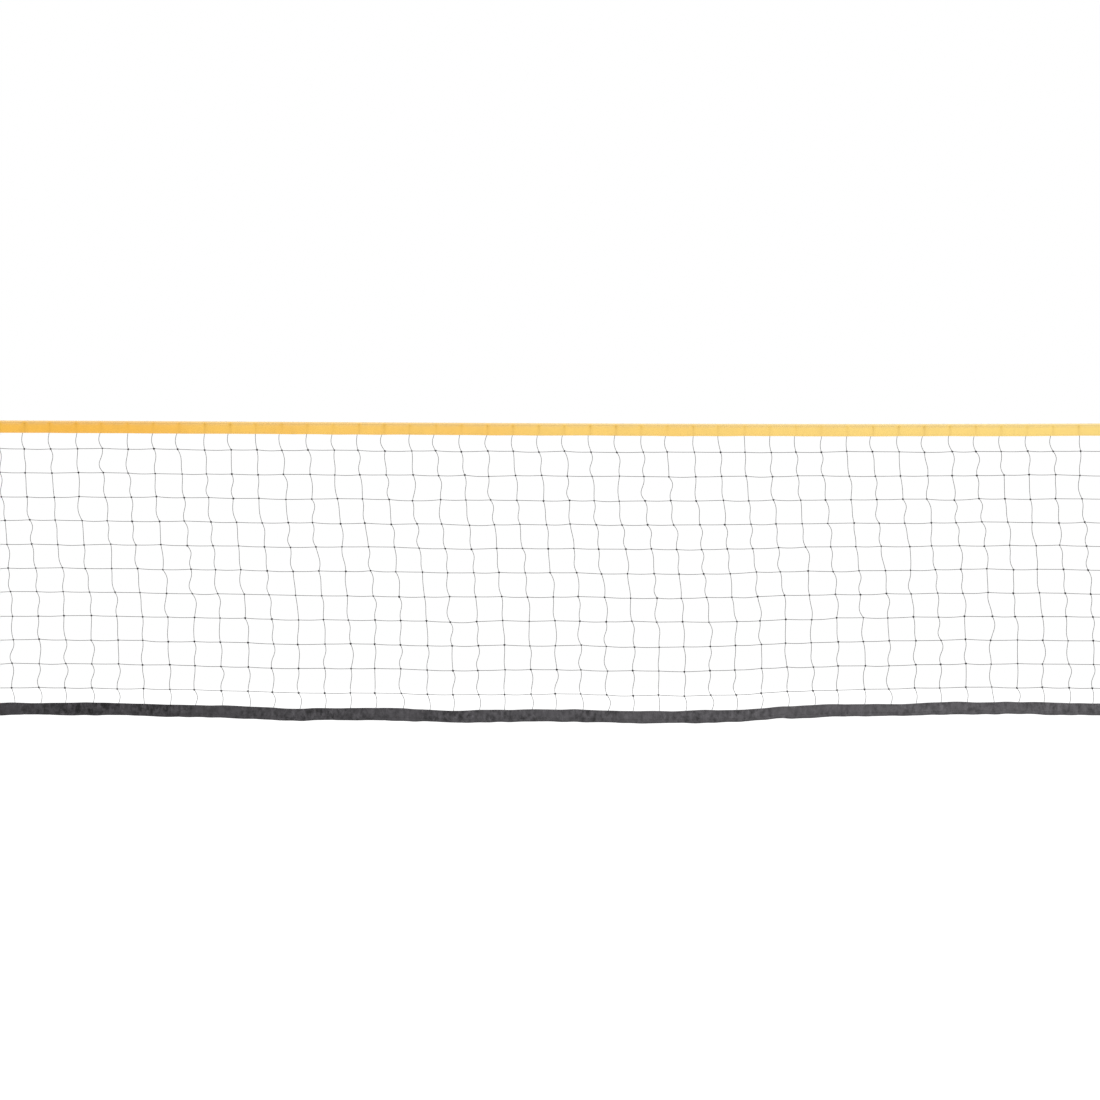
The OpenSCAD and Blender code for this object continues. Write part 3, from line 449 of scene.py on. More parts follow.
class Finish(Nodes):
    """A material, with short calls for the textures that the finishes share."""

    def __init__(self, roughness=0.5, metallic=0.0, name="finish", **uniform):
        self.material = bpy.data.materials.new(name)
        super().__init__(self.material)
        self.shader = self.tree.nodes["Principled BSDF"]
        for label, value in dict(uniform, Roughness=roughness, Metallic=metallic).items():
            self.shader.inputs[label.replace("_", " ")].default_value = value

    def place(self, stretch=(1, 1, 1), weave=False):
        """Coordinates in metres, stretched, in the piece's own space or its weave."""
        source = self.node("UVMap", uv_map="weave") if weave else self.node("TexCoord")
        own = source.outputs["UV" if weave else "Object"]
        return self.node("Mapping", {"Vector": own, "Scale": stretch}).outputs["Vector"]

    def noise(self, scale, detail=3, stretch=(1, 1, 1), rough=0.55):
        """Soft noise, from 0 to 1."""
        return self.node("TexNoise", {
            "Vector": self.place(stretch), "Scale": scale, "Detail": detail, "Roughness": rough,
        }).outputs["Fac"]

    def ribs(self, pitch, direction="X", stretch=(1, 1, 1)):
        """Smooth ribs in the weave, one every [pitch] metres; diagonal ones are two pitches apart along X."""
        return self.node("TexWave", {
            "Vector": self.place(stretch, weave=True), "Scale": math.pi / 10 / pitch, "Distortion": 0.0,
            "Detail": 0.0}, bands_direction=direction).outputs["Fac"]

    def times(self, a, b):
        """Product of two values."""
        return self.math("MULTIPLY", a, b)

    def mix(self, share, a, b, blend="MIX"):
        """Mixes two colours."""
        return self.node("Mix", {0: share, 6: a, 7: b}, data_type="RGBA", blend_type=blend).outputs[2]

    def tones(self, share, colour, start, end):
        """A colour, from [start] to [end] times as light, by the share."""
        return self.mix(share, shade(colour, start), shade(colour, end))

    def axis(self, source, output, name):
        """One coordinate of a node's vector."""
        return self.node("SeparateXYZ", {0: self.node(source).outputs[output]}).outputs[name]

    def bump(self, height, depth, strength=1.0, under=None):
        """A bump [depth] metres high, over another one."""
        return self.node("Bump", {"Height": height, "Distance": depth, "Strength": strength,
                                  "Normal": under}).outputs["Normal"]

    def set(self, colour=None, roughness=None, normal=None):
        """Links the surface and returns the material."""
        for label, value in (("Base Color", colour), ("Roughness", roughness), ("Normal", normal)):
            self.put(value, self.shader.inputs[label])
        return self.material


def shade(colour, by):
    """A colour made lighter or darker."""
    return [min(1.0, c * by) for c in colour[:3]] + [1.0]


LEFT_TO_RIGHT = (-2.2, 1.2)             # the cloth has its left colour at the first x, and its right colour from the second
FOLD_COLOUR_SHARE = 0.4                 # of the fold colour on the fold of a tape, a painted highlight on the top tape
CREASE_SHADE_AND_GRIME = (0.15, 0.15, 0.15, 1.0)  # what a dark patch takes off the cloth's colour: soiling, and painted shade of creases
CREASE_LIGHT_AND_BLEACH = (2.3, 2.3, 2.3, 1.0)    # what a light patch adds to it: bleaching, and painted light on creases


def cloth_finish(left, right, fold_colour, mottle, soiled, bleached_and_lit, pitch, twine_shadow, **uniform):
    """Plain-woven cloth, lighter towards the right, in its fold colour along its fold, and with painted
    shadow where the twine presses inside it.

    [mottle] is the scale of its patches, which are mottled cloth and also painted shade and painted light of
    creases, and [soiled], [bleached_and_lit] and [twine_shadow] are the shares of their tints.
    """
    f = Finish(**uniform)
    right_share = f.spread(f.axis("TexCoord", "Object", "X"), *LEFT_TO_RIGHT)
    base = f.mix(right_share, left, right)
    dark = f.spread(f.noise(mottle, 8, (1, 1, 0.7), 0.68), 0.42, 0.66)
    light = f.spread(f.noise(mottle * 0.6, 9, (1.3, 1, 0.6), 0.74), 0.5, 0.70)
    slow = f.spread(f.noise(3.5, 2), 0.35, 0.65)
    patchy = f.times(f.spread(f.noise(6.5, 3), 0.40, 0.58, 0.5, 1.15), f.spread(right_share, 0, 1, 1.75, 0.9))
    # dark and light patches: mottled cloth, and painted shade and painted light of its creases
    colour = f.mix(f.times(f.times(dark, patchy), soiled), base, CREASE_SHADE_AND_GRIME, "MULTIPLY")
    colour = f.mix(f.times(f.times(light, patchy), bleached_and_lit), colour, CREASE_LIGHT_AND_BLEACH, "MULTIPLY")
    colour = f.mix(f.times(slow, 0.12), colour, shade(right, 1.25))
    press = f.node("Attribute", attribute_name="press").outputs["Fac"]
    # along its fold the cloth takes the fold colour; on the top tape this is a painted highlight
    colour = f.mix(f.spread(press, 0, -1, 0, FOLD_COLOUR_SHARE), colour, fold_colour)
    # painted shadow of the twine inside the tape, where it presses
    colour = f.mix(f.spread(press, 0, 2, 0, 2 * twine_shadow), colour, shade(left, 0.45))
    woven = f.times(f.ribs(pitch, "X"), f.ribs(pitch, "Y"))
    colour = f.mix(f.times(woven, 0.10), colour, shade(left, 0.7))
    fibres = f.noise(1400, 2)
    normal = f.bump(fibres, 0.0002, 0.6, f.bump(woven, 0.00012, 0.8))
    return f.set(colour, f.spread(fibres, 0.3, 0.7, 0.62, 0.9), normal)


def head_cloth(c):
    """The bright cloth of the top tape, hardly mottled."""
    return cloth_finish(
        c.head_left, c.head_right, c.head_fold_highlight, mottle=22, soiled=0.05, bleached_and_lit=0.03, pitch=0.0009,
        twine_shadow=0.40, Sheen_Weight=0.1, Sheen_Roughness=0.5, Specular_IOR_Level=0.25)


def dark_cloth(c):
    """The dark cloth of the bottom tape and the side bands, mottled all over, with painted shade and painted
    light of creases in the mottle.
    """
    return cloth_finish(
        c.dark_left, c.dark_right, c.dark_left, mottle=62, soiled=0.80, bleached_and_lit=0.50, pitch=0.0011,
        twine_shadow=0.55, Sheen_Weight=0.06, Sheen_Roughness=0.6, Specular_IOR_Level=0.15)


def twine(c):
    """Dark laid twine, paler where it has rubbed."""
    f = Finish(0.62, Specular_IOR_Level=0.25)
    lay = f.ribs(0.0011, "DIAGONAL", (1, 0.6, 1))
    rubbed = f.spread(f.noise(60, 3), 0.35, 0.75)
    colour = f.tones(rubbed, c.twine, 1, 2.0)
    return f.set(f.mix(f.times(lay, 0.35), colour, shade(c.twine, 0.5)),
                 f.spread(rubbed, 0, 1, 0.5, 0.8), f.bump(lay, 0.0002, 0.8))


def braided(c):
    """Braided cord: two crossing lays of strands."""
    f = Finish(0.75, Sheen_Weight=0.2)
    strands = f.math("MAXIMUM", f.ribs(0.0022, "DIAGONAL"), f.ribs(0.0022, "DIAGONAL", (1, -1, 1)))
    soiled = f.spread(f.noise(30, 4), 0.4, 0.7)
    tone = f.tones(f.times(soiled, 0.3), c.cord, 1, 0.6)
    return f.set(tone, None, f.bump(strands, 0.0004, 0.9))


def webbing(c):
    """Ribbed webbing, with fine lines along it."""
    f = Finish(0.7, Sheen_Weight=0.1, Sheen_Roughness=0.4, Specular_IOR_Level=0.3)
    ribbed = f.math("ADD", f.ribs(0.0016, "X"), f.times(f.ribs(0.0042, "Y"), 0.6))
    fuzz = f.noise(1500, 2)
    soiled = f.spread(f.noise(45, 4), 0.35, 0.75)
    colour = f.tones(f.times(soiled, 0.5), c.webbing, 1, 1.7)
    # the valleys between the ribs are painted darker: painted shade in the grooves
    colour = f.mix(f.spread(ribbed, 0, 1.6, 0.35, 0), colour, shade(c.webbing, 0.35))
    return f.set(colour, f.spread(fuzz, 0.3, 0.7, 0.6, 0.85),
                 f.bump(fuzz, 0.0002, 0.5, f.bump(ribbed, 0.00035, 0.9)))


def sewing_thread(colour):
    """Twisted sewing thread."""
    f = Finish(0.55, Sheen_Weight=0.1)
    return f.set(f.tones(f.noise(220, 2), colour, 1, 0.75), None, f.bump(f.noise(2600, 1), 0.0001, 0.6))


def grained(c, colour, grain, scuffed, roughness, scuff_scale=30.0):
    """Moulded plastic or rubber: fine grain, faint scuffs, and dust on what faces up."""
    f = Finish(roughness)
    fine, broad = f.noise(grain, 3), f.noise(8, 3)
    scuffs = f.spread(f.noise(scuff_scale, 6, (1, 1, 5), 0.7), 0.55, 0.72)
    fade = f.tones(f.spread(broad, 0.3, 0.7), colour, 0.9, 1.12)
    faces_up = f.spread(f.axis("NewGeometry", "Normal", "Z"), 0.6, 1.0)
    dust = f.times(faces_up, f.spread(f.noise(75, 6), 0.35, 0.75, 0.02, 0.14))
    tone = f.mix(f.times(scuffs, scuffed), fade, shade([x + 0.03 for x in colour], 1.9))
    rough = f.math("ADD", f.spread(fine, 0.3, 0.7, roughness - 0.08, roughness + 0.08), f.times(scuffs, 0.12))
    return f.set(f.mix(dust, tone, c.dust), rough, f.bump(fine, 0.00025, 0.5, f.bump(broad, 0.0006, 0.25)))


def painted(c):
    """Powder coat: orange peel, with a few light scuffs."""
    f = Finish(0.42, Coat_Weight=0.1)
    peel, broad = f.noise(700, 2), f.noise(11, 4)
    scuffs = f.spread(f.noise(26, 6, (1, 1, 0.25), 0.7), 0.60, 0.70)
    tone = f.tones(f.spread(broad, 0.3, 0.7), c.paint, 0.85, 1.18)
    tone = f.mix(f.times(scuffs, 0.35), tone, shade(c.paint, 3.2))
    rough = f.math("ADD", f.spread(peel, 0.3, 0.7, 0.36, 0.5), f.times(scuffs, 0.2))
    return f.set(tone, rough, f.bump(peel, 0.00022, 0.5))


def aluminium(c):
    """Satin anodised tube: fine lines and rubbed streaks along it."""
    f = Finish(0.34, 1.0)
    lines, cloud = f.noise(900, 2, (1, 1, 0.004)), f.noise(7, 4, (1, 1, 0.5))
    rubbed = f.spread(f.noise(60, 5, (1, 1, 0.06), 0.65), 0.56, 0.68)
    tone = f.tones(f.spread(cloud, 0.3, 0.7), c.aluminium, 0.86, 1.06)
    tone = f.mix(f.times(rubbed, 0.3), tone, shade(c.aluminium, 0.6))
    rough = f.math("ADD", f.spread(lines, 0.25, 0.75, 0.24, 0.42), f.times(rubbed, 0.12))
    return f.set(tone, rough, f.bump(lines, 0.00008, 0.6))


def zinc(c):
    """Zinc plate: pale crystals, slightly yellow in places, dull where it has weathered."""
    f = Finish(0.36, 1.0)
    spangle = f.node("TexVoronoi", {"Vector": f.place(), "Scale": 420}).outputs["Distance"]
    cloud = f.noise(28, 4)
    tone = f.tones(f.spread(spangle, 0.0, 0.7), c.zinc, 1.04, 0.9)
    tone = f.mix(f.spread(cloud, 0.45, 0.75, 0.0, 0.35), tone, c.tarnish)
    return f.set(tone, f.spread(cloud, 0.3, 0.7, 0.26, 0.5), f.bump(f.noise(1200, 2), 0.00008, 0.5))


def glass_rod(c):
    """Pultruded glass fibre: long fibres in pale resin."""
    f = Finish(0.38, Coat_Weight=0.2)
    fibres, broad = f.noise(1300, 3, (1, 1, 0.01)), f.noise(9, 3)
    tone = f.tones(f.spread(fibres, 0.35, 0.65), c.dowel, 0.8, 1.08)
    tone = f.mix(f.spread(broad, 0.4, 0.8, 0, 0.25), tone, shade(c.dowel, 0.65))
    return f.set(tone, f.spread(fibres, 0.3, 0.7, 0.3, 0.5), f.bump(fibres, 0.0001, 0.6))


FINISHES = {
    "head_cloth": head_cloth,
    "dark_cloth": dark_cloth,
    "twine": twine,
    "cord": braided,
    "webbing": webbing,
    "dowel": glass_rod,
    "aluminium_tube": aluminium,
    "painted_tube": painted,
    "zinc_steel": zinc,
    "black_plastic": lambda c: grained(c, c.plastic, grain=900, scuffed=0.2, roughness=0.5),
    "tank": lambda c: grained(c, c.tank, grain=420, scuffed=0.35, roughness=0.55, scuff_scale=9.0),
    "wheel": lambda c: grained(c, c.wheel, grain=700, scuffed=0.25, roughness=0.6),
    "rubber": lambda c: grained(c, c.rubber, grain=1100, scuffed=0.3, roughness=0.82),
    "thread": lambda c: sewing_thread(c.thread),
    "head_thread": lambda c: sewing_thread(c.head_thread),
}


def finishes():
    """Every finish by the name of its slot, made once."""
    made = {}
    for slot, make in FINISHES.items():
        name = "finish_" + slot
        made[slot] = bpy.data.materials.get(name) or make(bpy.context.scene.finish_colours)
        made[slot].name = name
    return made


# ------------ rigid pieces

class NET_OT_rigid_finishes(bpy.types.Operator):
    """Gives every rigid CAD piece the finish of its slot, and takes the sharpness off its edges"""

    bl_idname = "net.rigid_finishes"
    bl_label = "Finish the rigid pieces"

    WELD = 0.00001  # points nearer than this become one
    ROUND = 0.0006  # radius of the rounds
    SHARP = 40      # degrees between the faces of a sharp edge
    LEVEL = 60      # how much large faces lead the shading

    def soften(self, node):
        """Small rounds along the sharp edges, smooth shading elsewhere."""
        weld = node.modifiers.new("weld", "WELD")
        weld.merge_threshold = self.WELD
        bevel = node.modifiers.new("soft_edges", "BEVEL")
        bevel.width = self.ROUND
        bevel.segments = 2
        bevel.limit_method = "ANGLE"
        bevel.angle_limit = math.radians(self.SHARP)
        bevel.use_clamp_overlap = True
        bevel.harden_normals = False
        normals = node.modifiers.new("normals", "WEIGHTED_NORMAL")
        normals.keep_sharp = True
        normals.weight = self.LEVEL

    def execute(self, context):
        made = finishes()
        for name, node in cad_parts.items():
            slots = node.data.materials
            if not slots or slots[0] is None:
                raise RuntimeError(name + " has no material slot")
            slots[0] = made[slots[0].name.split(".")[0]]
            self.soften(node)
        return {"FINISHED"}


# ------------ netting
# A mesh has two upright legs and two level bars.

LEG_STEPS, BAR_STEPS = 14, 6  # parts that a leg and a bar are drawn with
TWINE_SIDES = 5
JITTER = 1.0, 0.8, 0.5  # shares of the jitter along, across and up

# random bends, in shares of slack, curl or jitter: middle, spread, and for some the limits
BOW = 0.2, 1.0, -2.2, 2.2
HEAD_BOW = 1.4, 0.8
FOOT_BOW = 1.3, 0.6
CURL = 0.9, 0.8, -0.8, 2.2
HEAD_CURL = 0.9, 0.4
OUT = 0.0, 0.8
SAG = 0.5, 0.6
SAG_DEPTH = 0.6
BESIDE_BAND = 0.15  # share of its bends along the net that the outermost column keeps
IN_TAPE = 0.25      # share of their bends across the net that legs reaching into a tape keep

KNOT_STEPS, KNOT_SIDES = 18, 4
KNOT_FORM = 1.15, 0.9, 1.0  # how wide, thick and high a knot is
KNOT_TWINE = 0.55           # radius of its twine, in thicknesses of the twine
KNOT_TILT = 0.6             # how far it may be turned, in radians
KNOT_GROWTH = 0.85, 1.2     # its smallest and its largest size


def draws(source, shape, middle, spread, low=-np.inf, high=np.inf):
    """Random values about a middle, held between the lowest and the highest."""
    return np.clip(source.normal(middle, spread, shape), low, high)


def between(first, last, t):
    """Points on the way from each first one to its last one, at the shares t."""
    return first[..., None, :] * (1 - t)[:, None] + last[..., None, :] * t[:, None]


def knot_shape(radius, twine_r):
    """A tight overhand knot about the origin: points, quads and weave of one small tube."""
    a = np.arange(KNOT_STEPS) * TURN / KNOT_STEPS
    path = np.column_stack([np.sin(a) + 2 * np.sin(2 * a), -np.sin(3 * a), np.cos(a) - 2 * np.cos(2 * a)])
    path *= radius / 3 * np.array(KNOT_FORM)
    knot = Piece()
    sweep(knot, path, circle(twine_r, KNOT_SIDES), hint=(0.2, 1, 0.1), closed=True)
    return knot.points[0], knot.loops[0].reshape(-1, 4), knot.weave[0]


def place_knots(sizes, draw):
    """Places of the knots, by column and row: an even grid, pulled about inside."""
    lines, cols, rows = NetLines(), sizes.columns, sizes.rows
    xs = np.linspace(-lines.half, lines.half, cols + 1)
    knots = np.zeros((cols + 1, rows + 1, 3))
    for j, share in enumerate(np.linspace(0, 1, rows + 1)):
        knots[:, j, X], knots[:, j, Z] = lines.knot(xs, share)
    loose = np.zeros((cols + 1, rows + 1, 1))
    loose[1:-1, 1:-1] = 1
    return knots + loose * draws(draw, knots.shape, 0, 1) * (sizes.jitter * np.array(JITTER))


def bend_legs(sizes, draw, knots):
    """The upright strands: each leg bows and swings aside, and leaves the plane a little."""
    cols, rows = sizes.columns, sizes.rows
    bow = draws(draw, (cols + 1, rows), *BOW)
    curl = draws(draw, (cols + 1, rows), *CURL)
    # seen from the front, legs out of the top tape all bow left, and legs into the bottom tape right
    bow[:, 0] = -abs(draws(draw, cols + 1, *HEAD_BOW))
    curl[:, 0] = draws(draw, cols + 1, *HEAD_CURL)
    bow[:, -1] = abs(draws(draw, cols + 1, *FOOT_BOW))
    bow[[0, -1]] *= BESIDE_BAND
    curl[[0, -1]] *= BESIDE_BAND
    out = draws(draw, (cols + 1, rows), *OUT)
    out[:, [0, -1]] *= IN_TAPE
    t = np.arange(LEG_STEPS) / LEG_STEPS
    legs = between(knots[:, :-1], knots[:, 1:], t)
    swell, swing = np.sin(math.pi * t), np.sin(TURN * t)
    legs[..., X] += sizes.slack * bow[..., None] * swell + sizes.curl * curl[..., None] * swing
    legs[..., Y] += sizes.slack * out[..., None] * swell
    return np.concatenate([legs.reshape(cols + 1, -1, 3), knots[:, -1:]], axis=1)


def sag_bars(sizes, draw, knots):
    """The level strands: each bar sags a little, but not on the cords."""
    cols, rows = sizes.columns, sizes.rows
    sag = abs(draws(draw, (cols, rows + 1), *SAG)) * sizes.jitter * SAG_DEPTH
    sag[:, [0, -1]] = 0
    t = np.arange(BAR_STEPS) / BAR_STEPS
    bars = between(knots[:-1], knots[1:], t)
    bars[..., Z] -= sag[..., None] * np.sin(math.pi * t)
    strands = bars.transpose(1, 0, 2, 3).reshape(rows + 1, -1, 3)
    return np.concatenate([strands, knots[-1:].transpose(1, 0, 2)], axis=1)


def tie_knots(net, sizes, draw, places):
    """Adds knots, each one turned and grown a little by chance."""
    shape, quads, weave = knot_shape(sizes.knot, sizes.twine * KNOT_TWINE)
    tilt = draw.uniform(-KNOT_TILT, KNOT_TILT, len(places))[:, None]
    grow = draw.uniform(*KNOT_GROWTH, len(places))
    x, y, z = shape.T
    turned = np.stack([x * np.cos(tilt) - z * np.sin(tilt),
                       np.broadcast_to(y, (len(places), len(y))),
                       x * np.sin(tilt) + z * np.cos(tilt)], axis=-1)
    firsts = np.arange(len(places))[:, None, None] * len(shape)
    net.add(turned * grow[:, None, None] + places[:, None], (quads[None] + firsts).reshape(-1, 4),
            np.tile(weave, (len(places), 1)))


class NET_OT_netting(bpy.types.Operator):
    """Knots the netting, with its slack, between the head cord and the foot cord"""

    bl_idname = "net.netting"
    bl_label = "Netting"

    def execute(self, context):
        sizes = context.scene.netting_sizes
        draw = np.random.RandomState(sizes.seed)
        head, foot = tapes()
        knots = place_knots(sizes, draw)
        net = Piece()
        for strands in (bend_legs(sizes, draw, knots), sag_bars(sizes, draw, knots)):
            sweep(net, foot.settle(head.settle(strands)), circle(sizes.twine / 2, TWINE_SIDES))
        tie_knots(net, sizes, draw, foot.settle(head.settle(knots.reshape(-1, 3))))
        piece = net.make("netting_mesh", "twine", smooth=80)
        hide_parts("netting")
        return {"FINISHED"}


# ------------ tapes and cords

SEAM_MARGIN = 0.01  # a row of stitches starts and ends this far from the ends of the cloth
# the points of a stitch: along it, in lengths, and off the cloth, in thicknesses of the thread
SEAM_STITCH = np.linspace(-0.5, 0.5, 5), np.array([-0.45, 0.25, 0.4, 0.25, -0.45])
BOX_STITCH = np.array([-0.36, 0, 0.36]), np.array([-0.45, 0.35, -0.45])


def stitches(piece, places, ahead, out, length, form=SEAM_STITCH, hint=(0.1, 0.3, 0.95)):
    """Small thread loops on a surface: [places] are their middles."""
    thread = bpy.context.scene.cloth_sizes.thread
    ahead, out = (np.broadcast_to(direction, places.shape)[:, None] for direction in (ahead, out))
    along, lift = form
    paths = places[:, None] + ahead * (along * length)[:, None] + out * (lift * thread)[:, None]
    sweep(piece, paths, circle(thread / 2, 4, TURN / 8), hint)


def seam_places(start, end, sizes):
    """Where the stitches of one row lie between the two ends of the cloth."""
    number = int((end - start - 2 * SEAM_MARGIN) / sizes.stitch_gap)
    return np.linspace(start + SEAM_MARGIN, end - SEAM_MARGIN, number)


class Tape:
    """A cloth tape folded over a cord: up is 1 for the head of the net and -1 for its foot."""

    SEAM = 0.008                  # from the fold to where the two flaps hang free
    FADE = 0.03                   # the netting follows the cloth this far beyond its free edge
    STIFF = 0.04                  # the ends that are sewn to the side bands stay straight
    EASE = 0.15                   # and this much beside them moves less
    FOLD_TINTED = 0.015                  # the cloth takes its fold colour this far from its fold
    LASH = 0.0015                 # the twine presses most this far below the cord
    RIDGE = 0.0005                # it pushes each flap out this far
    PINCH = 0.0004                # and draws the fold in this far
    ROWS = 0.0125, 0.005          # rows of stitches, from the fold and from the free edge
    BROAD, SHORT = 0.7, 0.55      # shares of the ripple in its long and its short waves
    RISE, BILLOW = 0.7, 0.2       # and in how far the free edge rises or falls, and the flaps stand apart
    PLEATED = 0.5, 0.7, 0.1, 1.4  # strength of the pleats: middle, swing, least and most
    SLACKNESS = 0.45, 0.45        # share of the slump: middle and swing
    TAKEN_UP = 0.6                # share of it that the free edge doesn't follow
    PRESSES = 0.25, 1.0           # how hard the twines press: least and most
    LAST_PRESS = 0.5              # and the last of them
    BENDS = 0, 0.0025, 0.008, 0.014, 0.019  # distances from the free edge where the cloth can bend
    FOLD_STEPS = 12
    # stations along one mesh, in shares of it, and how hard the twine presses at some
    STATIONS = 0.0, 0.03, 0.06, 0.15, 0.27, 0.40, 0.5, 0.60, 0.73, 0.85, 0.94, 0.97
    PRESSED = (0, 0.03, 0.06, 0.15), (1, 0.75, 0.3, 0)
    MARK = 0.55                 # how strong the painted twine shadow is, all down the cloth
    DOT, DOT_SIZE = 1.2, 0.003  # how much stronger the painted shadow is where the twine is lashed, and how far round

    def __init__(self, node, up, ripple, seed, slump=0.0, pucker=0.0):
        found = corners(node)
        self.node, self.up, self.end = node, up, sum(span(node, X))
        self.sleeve = span(node, Y)[1]
        end = found[abs(found[:, X] - self.end) < SAME / 2]
        tip = end[:, Z].min() if up > 0 else end[:, Z].max()
        self.height = end[:, Z].max() - end[:, Z].min()
        self.flap = abs(end[abs(end[:, Z] - tip) < SAME / 2, Y]).max()
        even = edge_line(node, max if up > 0 else min)
        self.dip = np.zeros_like if up > 0 else dip
        self.edge = lambda x: even(x) - self.dip(x)
        self.cloth, self.seed = bpy.context.scene.cloth_sizes.cloth, seed
        self.ripple, self.slump, self.pucker = ripple, slump, pucker
        self.lash = 2 * self.sleeve + self.LASH
        self.broad = waves(seed, 0.25, 0.9)
        self.short = waves(seed + 1, 0.05, 0.22, 14)
        self.own = {-1: waves(seed + 2, 0.08, 0.3), 1: waves(seed + 3, 0.08, 0.3)}
        self.sway = waves(seed + 4, 0.12, 0.7, 12)
        self.slack = waves(seed + 5, 0.06, 0.4, 14)
        self.pleat = waves(seed + 6, 0.03, 0.08, 14)
        self.crowd = waves(seed + 7, 0.2, 1.1)

    def free(self, down):
        """0 on the cord, 1 at the free edge."""
        return np.clip((down - self.SEAM) / (self.height - self.SEAM), 0, 1)

    def loose(self, x):
        """0 where the tape is sewn to a side band, 1 along the rest of it."""
        return ease(np.clip((self.end - abs(x) - self.STIFF) / self.EASE, 0, 1))

    def hang(self, x):
        """How far the cord and the fold hang below their even line."""
        middle, swing = self.SLACKNESS
        return self.loose(x) * self.slump * np.clip(middle + swing * self.slack(x), 0, 1)

    def shift(self, x, down):
        """How far both flaps have moved across the net, with small pleats in places."""
        middle, swing, least, most = self.PLEATED
        pleats = self.pucker * self.pleat(x) * np.clip(middle + swing * self.crowd(x), least, most)
        ripples = self.ripple * (self.BROAD * self.broad(x) + self.SHORT * self.short(x))
        return self.loose(x) * self.free(down) * (ripples + pleats)

    def lower(self, x, down):
        """How far the cloth hangs below its even place; the free edge follows the fold in part."""
        free = self.free(down)
        sway = self.loose(x) * self.up * self.ripple * self.RISE * free * self.sway(x)
        return self.hang(x) * (1 - self.TAKEN_UP * free) + sway

    def place(self, x, y, down, flap, press=0.0):
        """A point of the section, in place: y across, [down] from the fold, [flap] -1 or 1."""
        free = self.free(down)
        billow = self.BILLOW * self.ripple * free * self.own[flap](x) ** 2
        apart = flap * np.where(free > 0, self.RIDGE * press + billow, 0)
        pinch = self.up * self.PINCH * press * (1 - free)
        z = self.edge(x) - self.up * down - self.lower(x, down) - pinch
        return np.stack([x, y + self.shift(x, down) + apart, z], axis=-1)

    def settle(self, points):
        """Points of the netting, carried along by the cloth that they lie in."""
        x, y, z = np.moveaxis(points, -1, 0)
        down = self.up * (self.edge(x) - z)
        held = np.clip(1 - (down - self.height) / self.FADE, 0, 1)
        y = y * (1 - held) + self.shift(x, down) * held
        return np.stack([x, y, z - self.lower(x, down) * held], axis=-1)

    def section(self):
        """(y, down, flap) round the cloth: the outer face, then the inner face back."""
        lows = [self.height - bend for bend in self.BENDS] + [self.lash + self.DOT_SIZE, self.lash]
        skin = []
        for inset in (0.0, self.cloth):
            radius, gap = self.sleeve - inset, self.flap - inset
            turn = math.degrees(math.asin(gap / radius))
            fold = arc(radius, 270 - turn, -90 + turn, self.FOLD_STEPS, (0, -self.sleeve))
            left = [(-gap, down, -1) for down in lows]
            over = [(y, -z, -1 if y < 0 else 1) for y, z in fold]
            right = [(gap, down, 1) for down in reversed(lows)]
            skin.append(left + over + right)
        return skin[0] + skin[1][::-1]

    def stations(self, columns, half):
        """Places along the tape, close at each twine, and how hard the twine presses there."""
        pitch = 2 * half / columns
        shares = np.array(self.STATIONS)
        lashed = np.interp(np.minimum(shares, 1 - shares), *self.PRESSED)
        strength = np.random.RandomState(self.seed).uniform(*self.PRESSES, columns)
        xs = ((np.arange(columns)[:, None] + shares) * pitch).ravel() - half
        press = (strength[:, None] * lashed).ravel()
        beyond = (self.end + half) / 2
        return (np.concatenate([[-self.end, -beyond], xs, [half, beyond, self.end]]),
                np.concatenate([[0, 0], press, [self.LAST_PRESS, 0, 0]]))

    def build(self, slot, columns, half):
        """The folded cloth. The netting is [half] long each way."""
        xs, press = self.stations(columns, half)
        section = self.section()
        m, n = len(section), len(xs)
        points = np.stack([self.place(xs, y, down, flap, press) for y, down, flap in section], axis=1)
        profile = np.array([(y, down) for y, down, _ in section])
        depth = profile[:, 1]
        # strength of the painted twine shadow, stronger where the twine is lashed; below 0 near the fold, the
        # fold colour (a painted highlight on the top tape)
        dots = self.MARK + self.DOT * np.exp(-((depth - self.lash) / self.DOT_SIZE) ** 2)
        press = press[:, None] * dots - np.clip(1 - depth / self.FOLD_TINTED, 0, 1)
        quads, weave = lattice(xs, running(profile), n)
        order = [1, 2, 3, 0] if self.up > 0 else [0, 3, 2, 1]
        cloth = Piece()
        cloth.add(points, quads[:, order], weave[:, order], press)
        strip = [(k, k + 1, m - 2 - k, m - 1 - k) for k in range(m // 2 - 1)]
        for first, flip in ((0, self.up > 0), ((n - 1) * m, self.up < 0)):
            for quad in strip:
                cloth.cap([first + k for k in (quad if flip else quad[::-1])])
        piece = cloth.make(self.node + "_cloth", slot, smooth=50)
        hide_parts(self.node)

    def sew(self, slot, thread):
        """Two rows of stitches on both flaps."""
        sizes, seam = bpy.context.scene.cloth_sizes, Piece()
        xs = seam_places(-self.end, self.end, sizes)
        below_fold, above_edge = self.ROWS
        for flap in (-1, 1):
            for down in (below_fold, self.height - above_edge):
                middle = self.place(xs, flap * self.flap, down, flap)
                ahead = self.place(xs + 0.001, flap * self.flap, down, flap) - middle
                ahead /= np.linalg.norm(ahead, axis=1, keepdims=True)
                stitches(seam, middle, ahead, np.cross(ahead, [0, 0, 1]) * -flap, sizes.stitch)
        seam.make(self.node + "_stitches", slot, smooth=80, finish=thread)


def tapes():
    """The tape at the head of the net and the one at its foot."""
    sizes = bpy.context.scene.cloth_sizes
    return (Tape("top_tape", up=1, ripple=sizes.head_ripple, seed=11),
            Tape("bottom_tape", up=-1, ripple=sizes.foot_ripple, seed=31,
                 slump=sizes.slump, pucker=sizes.pucker))


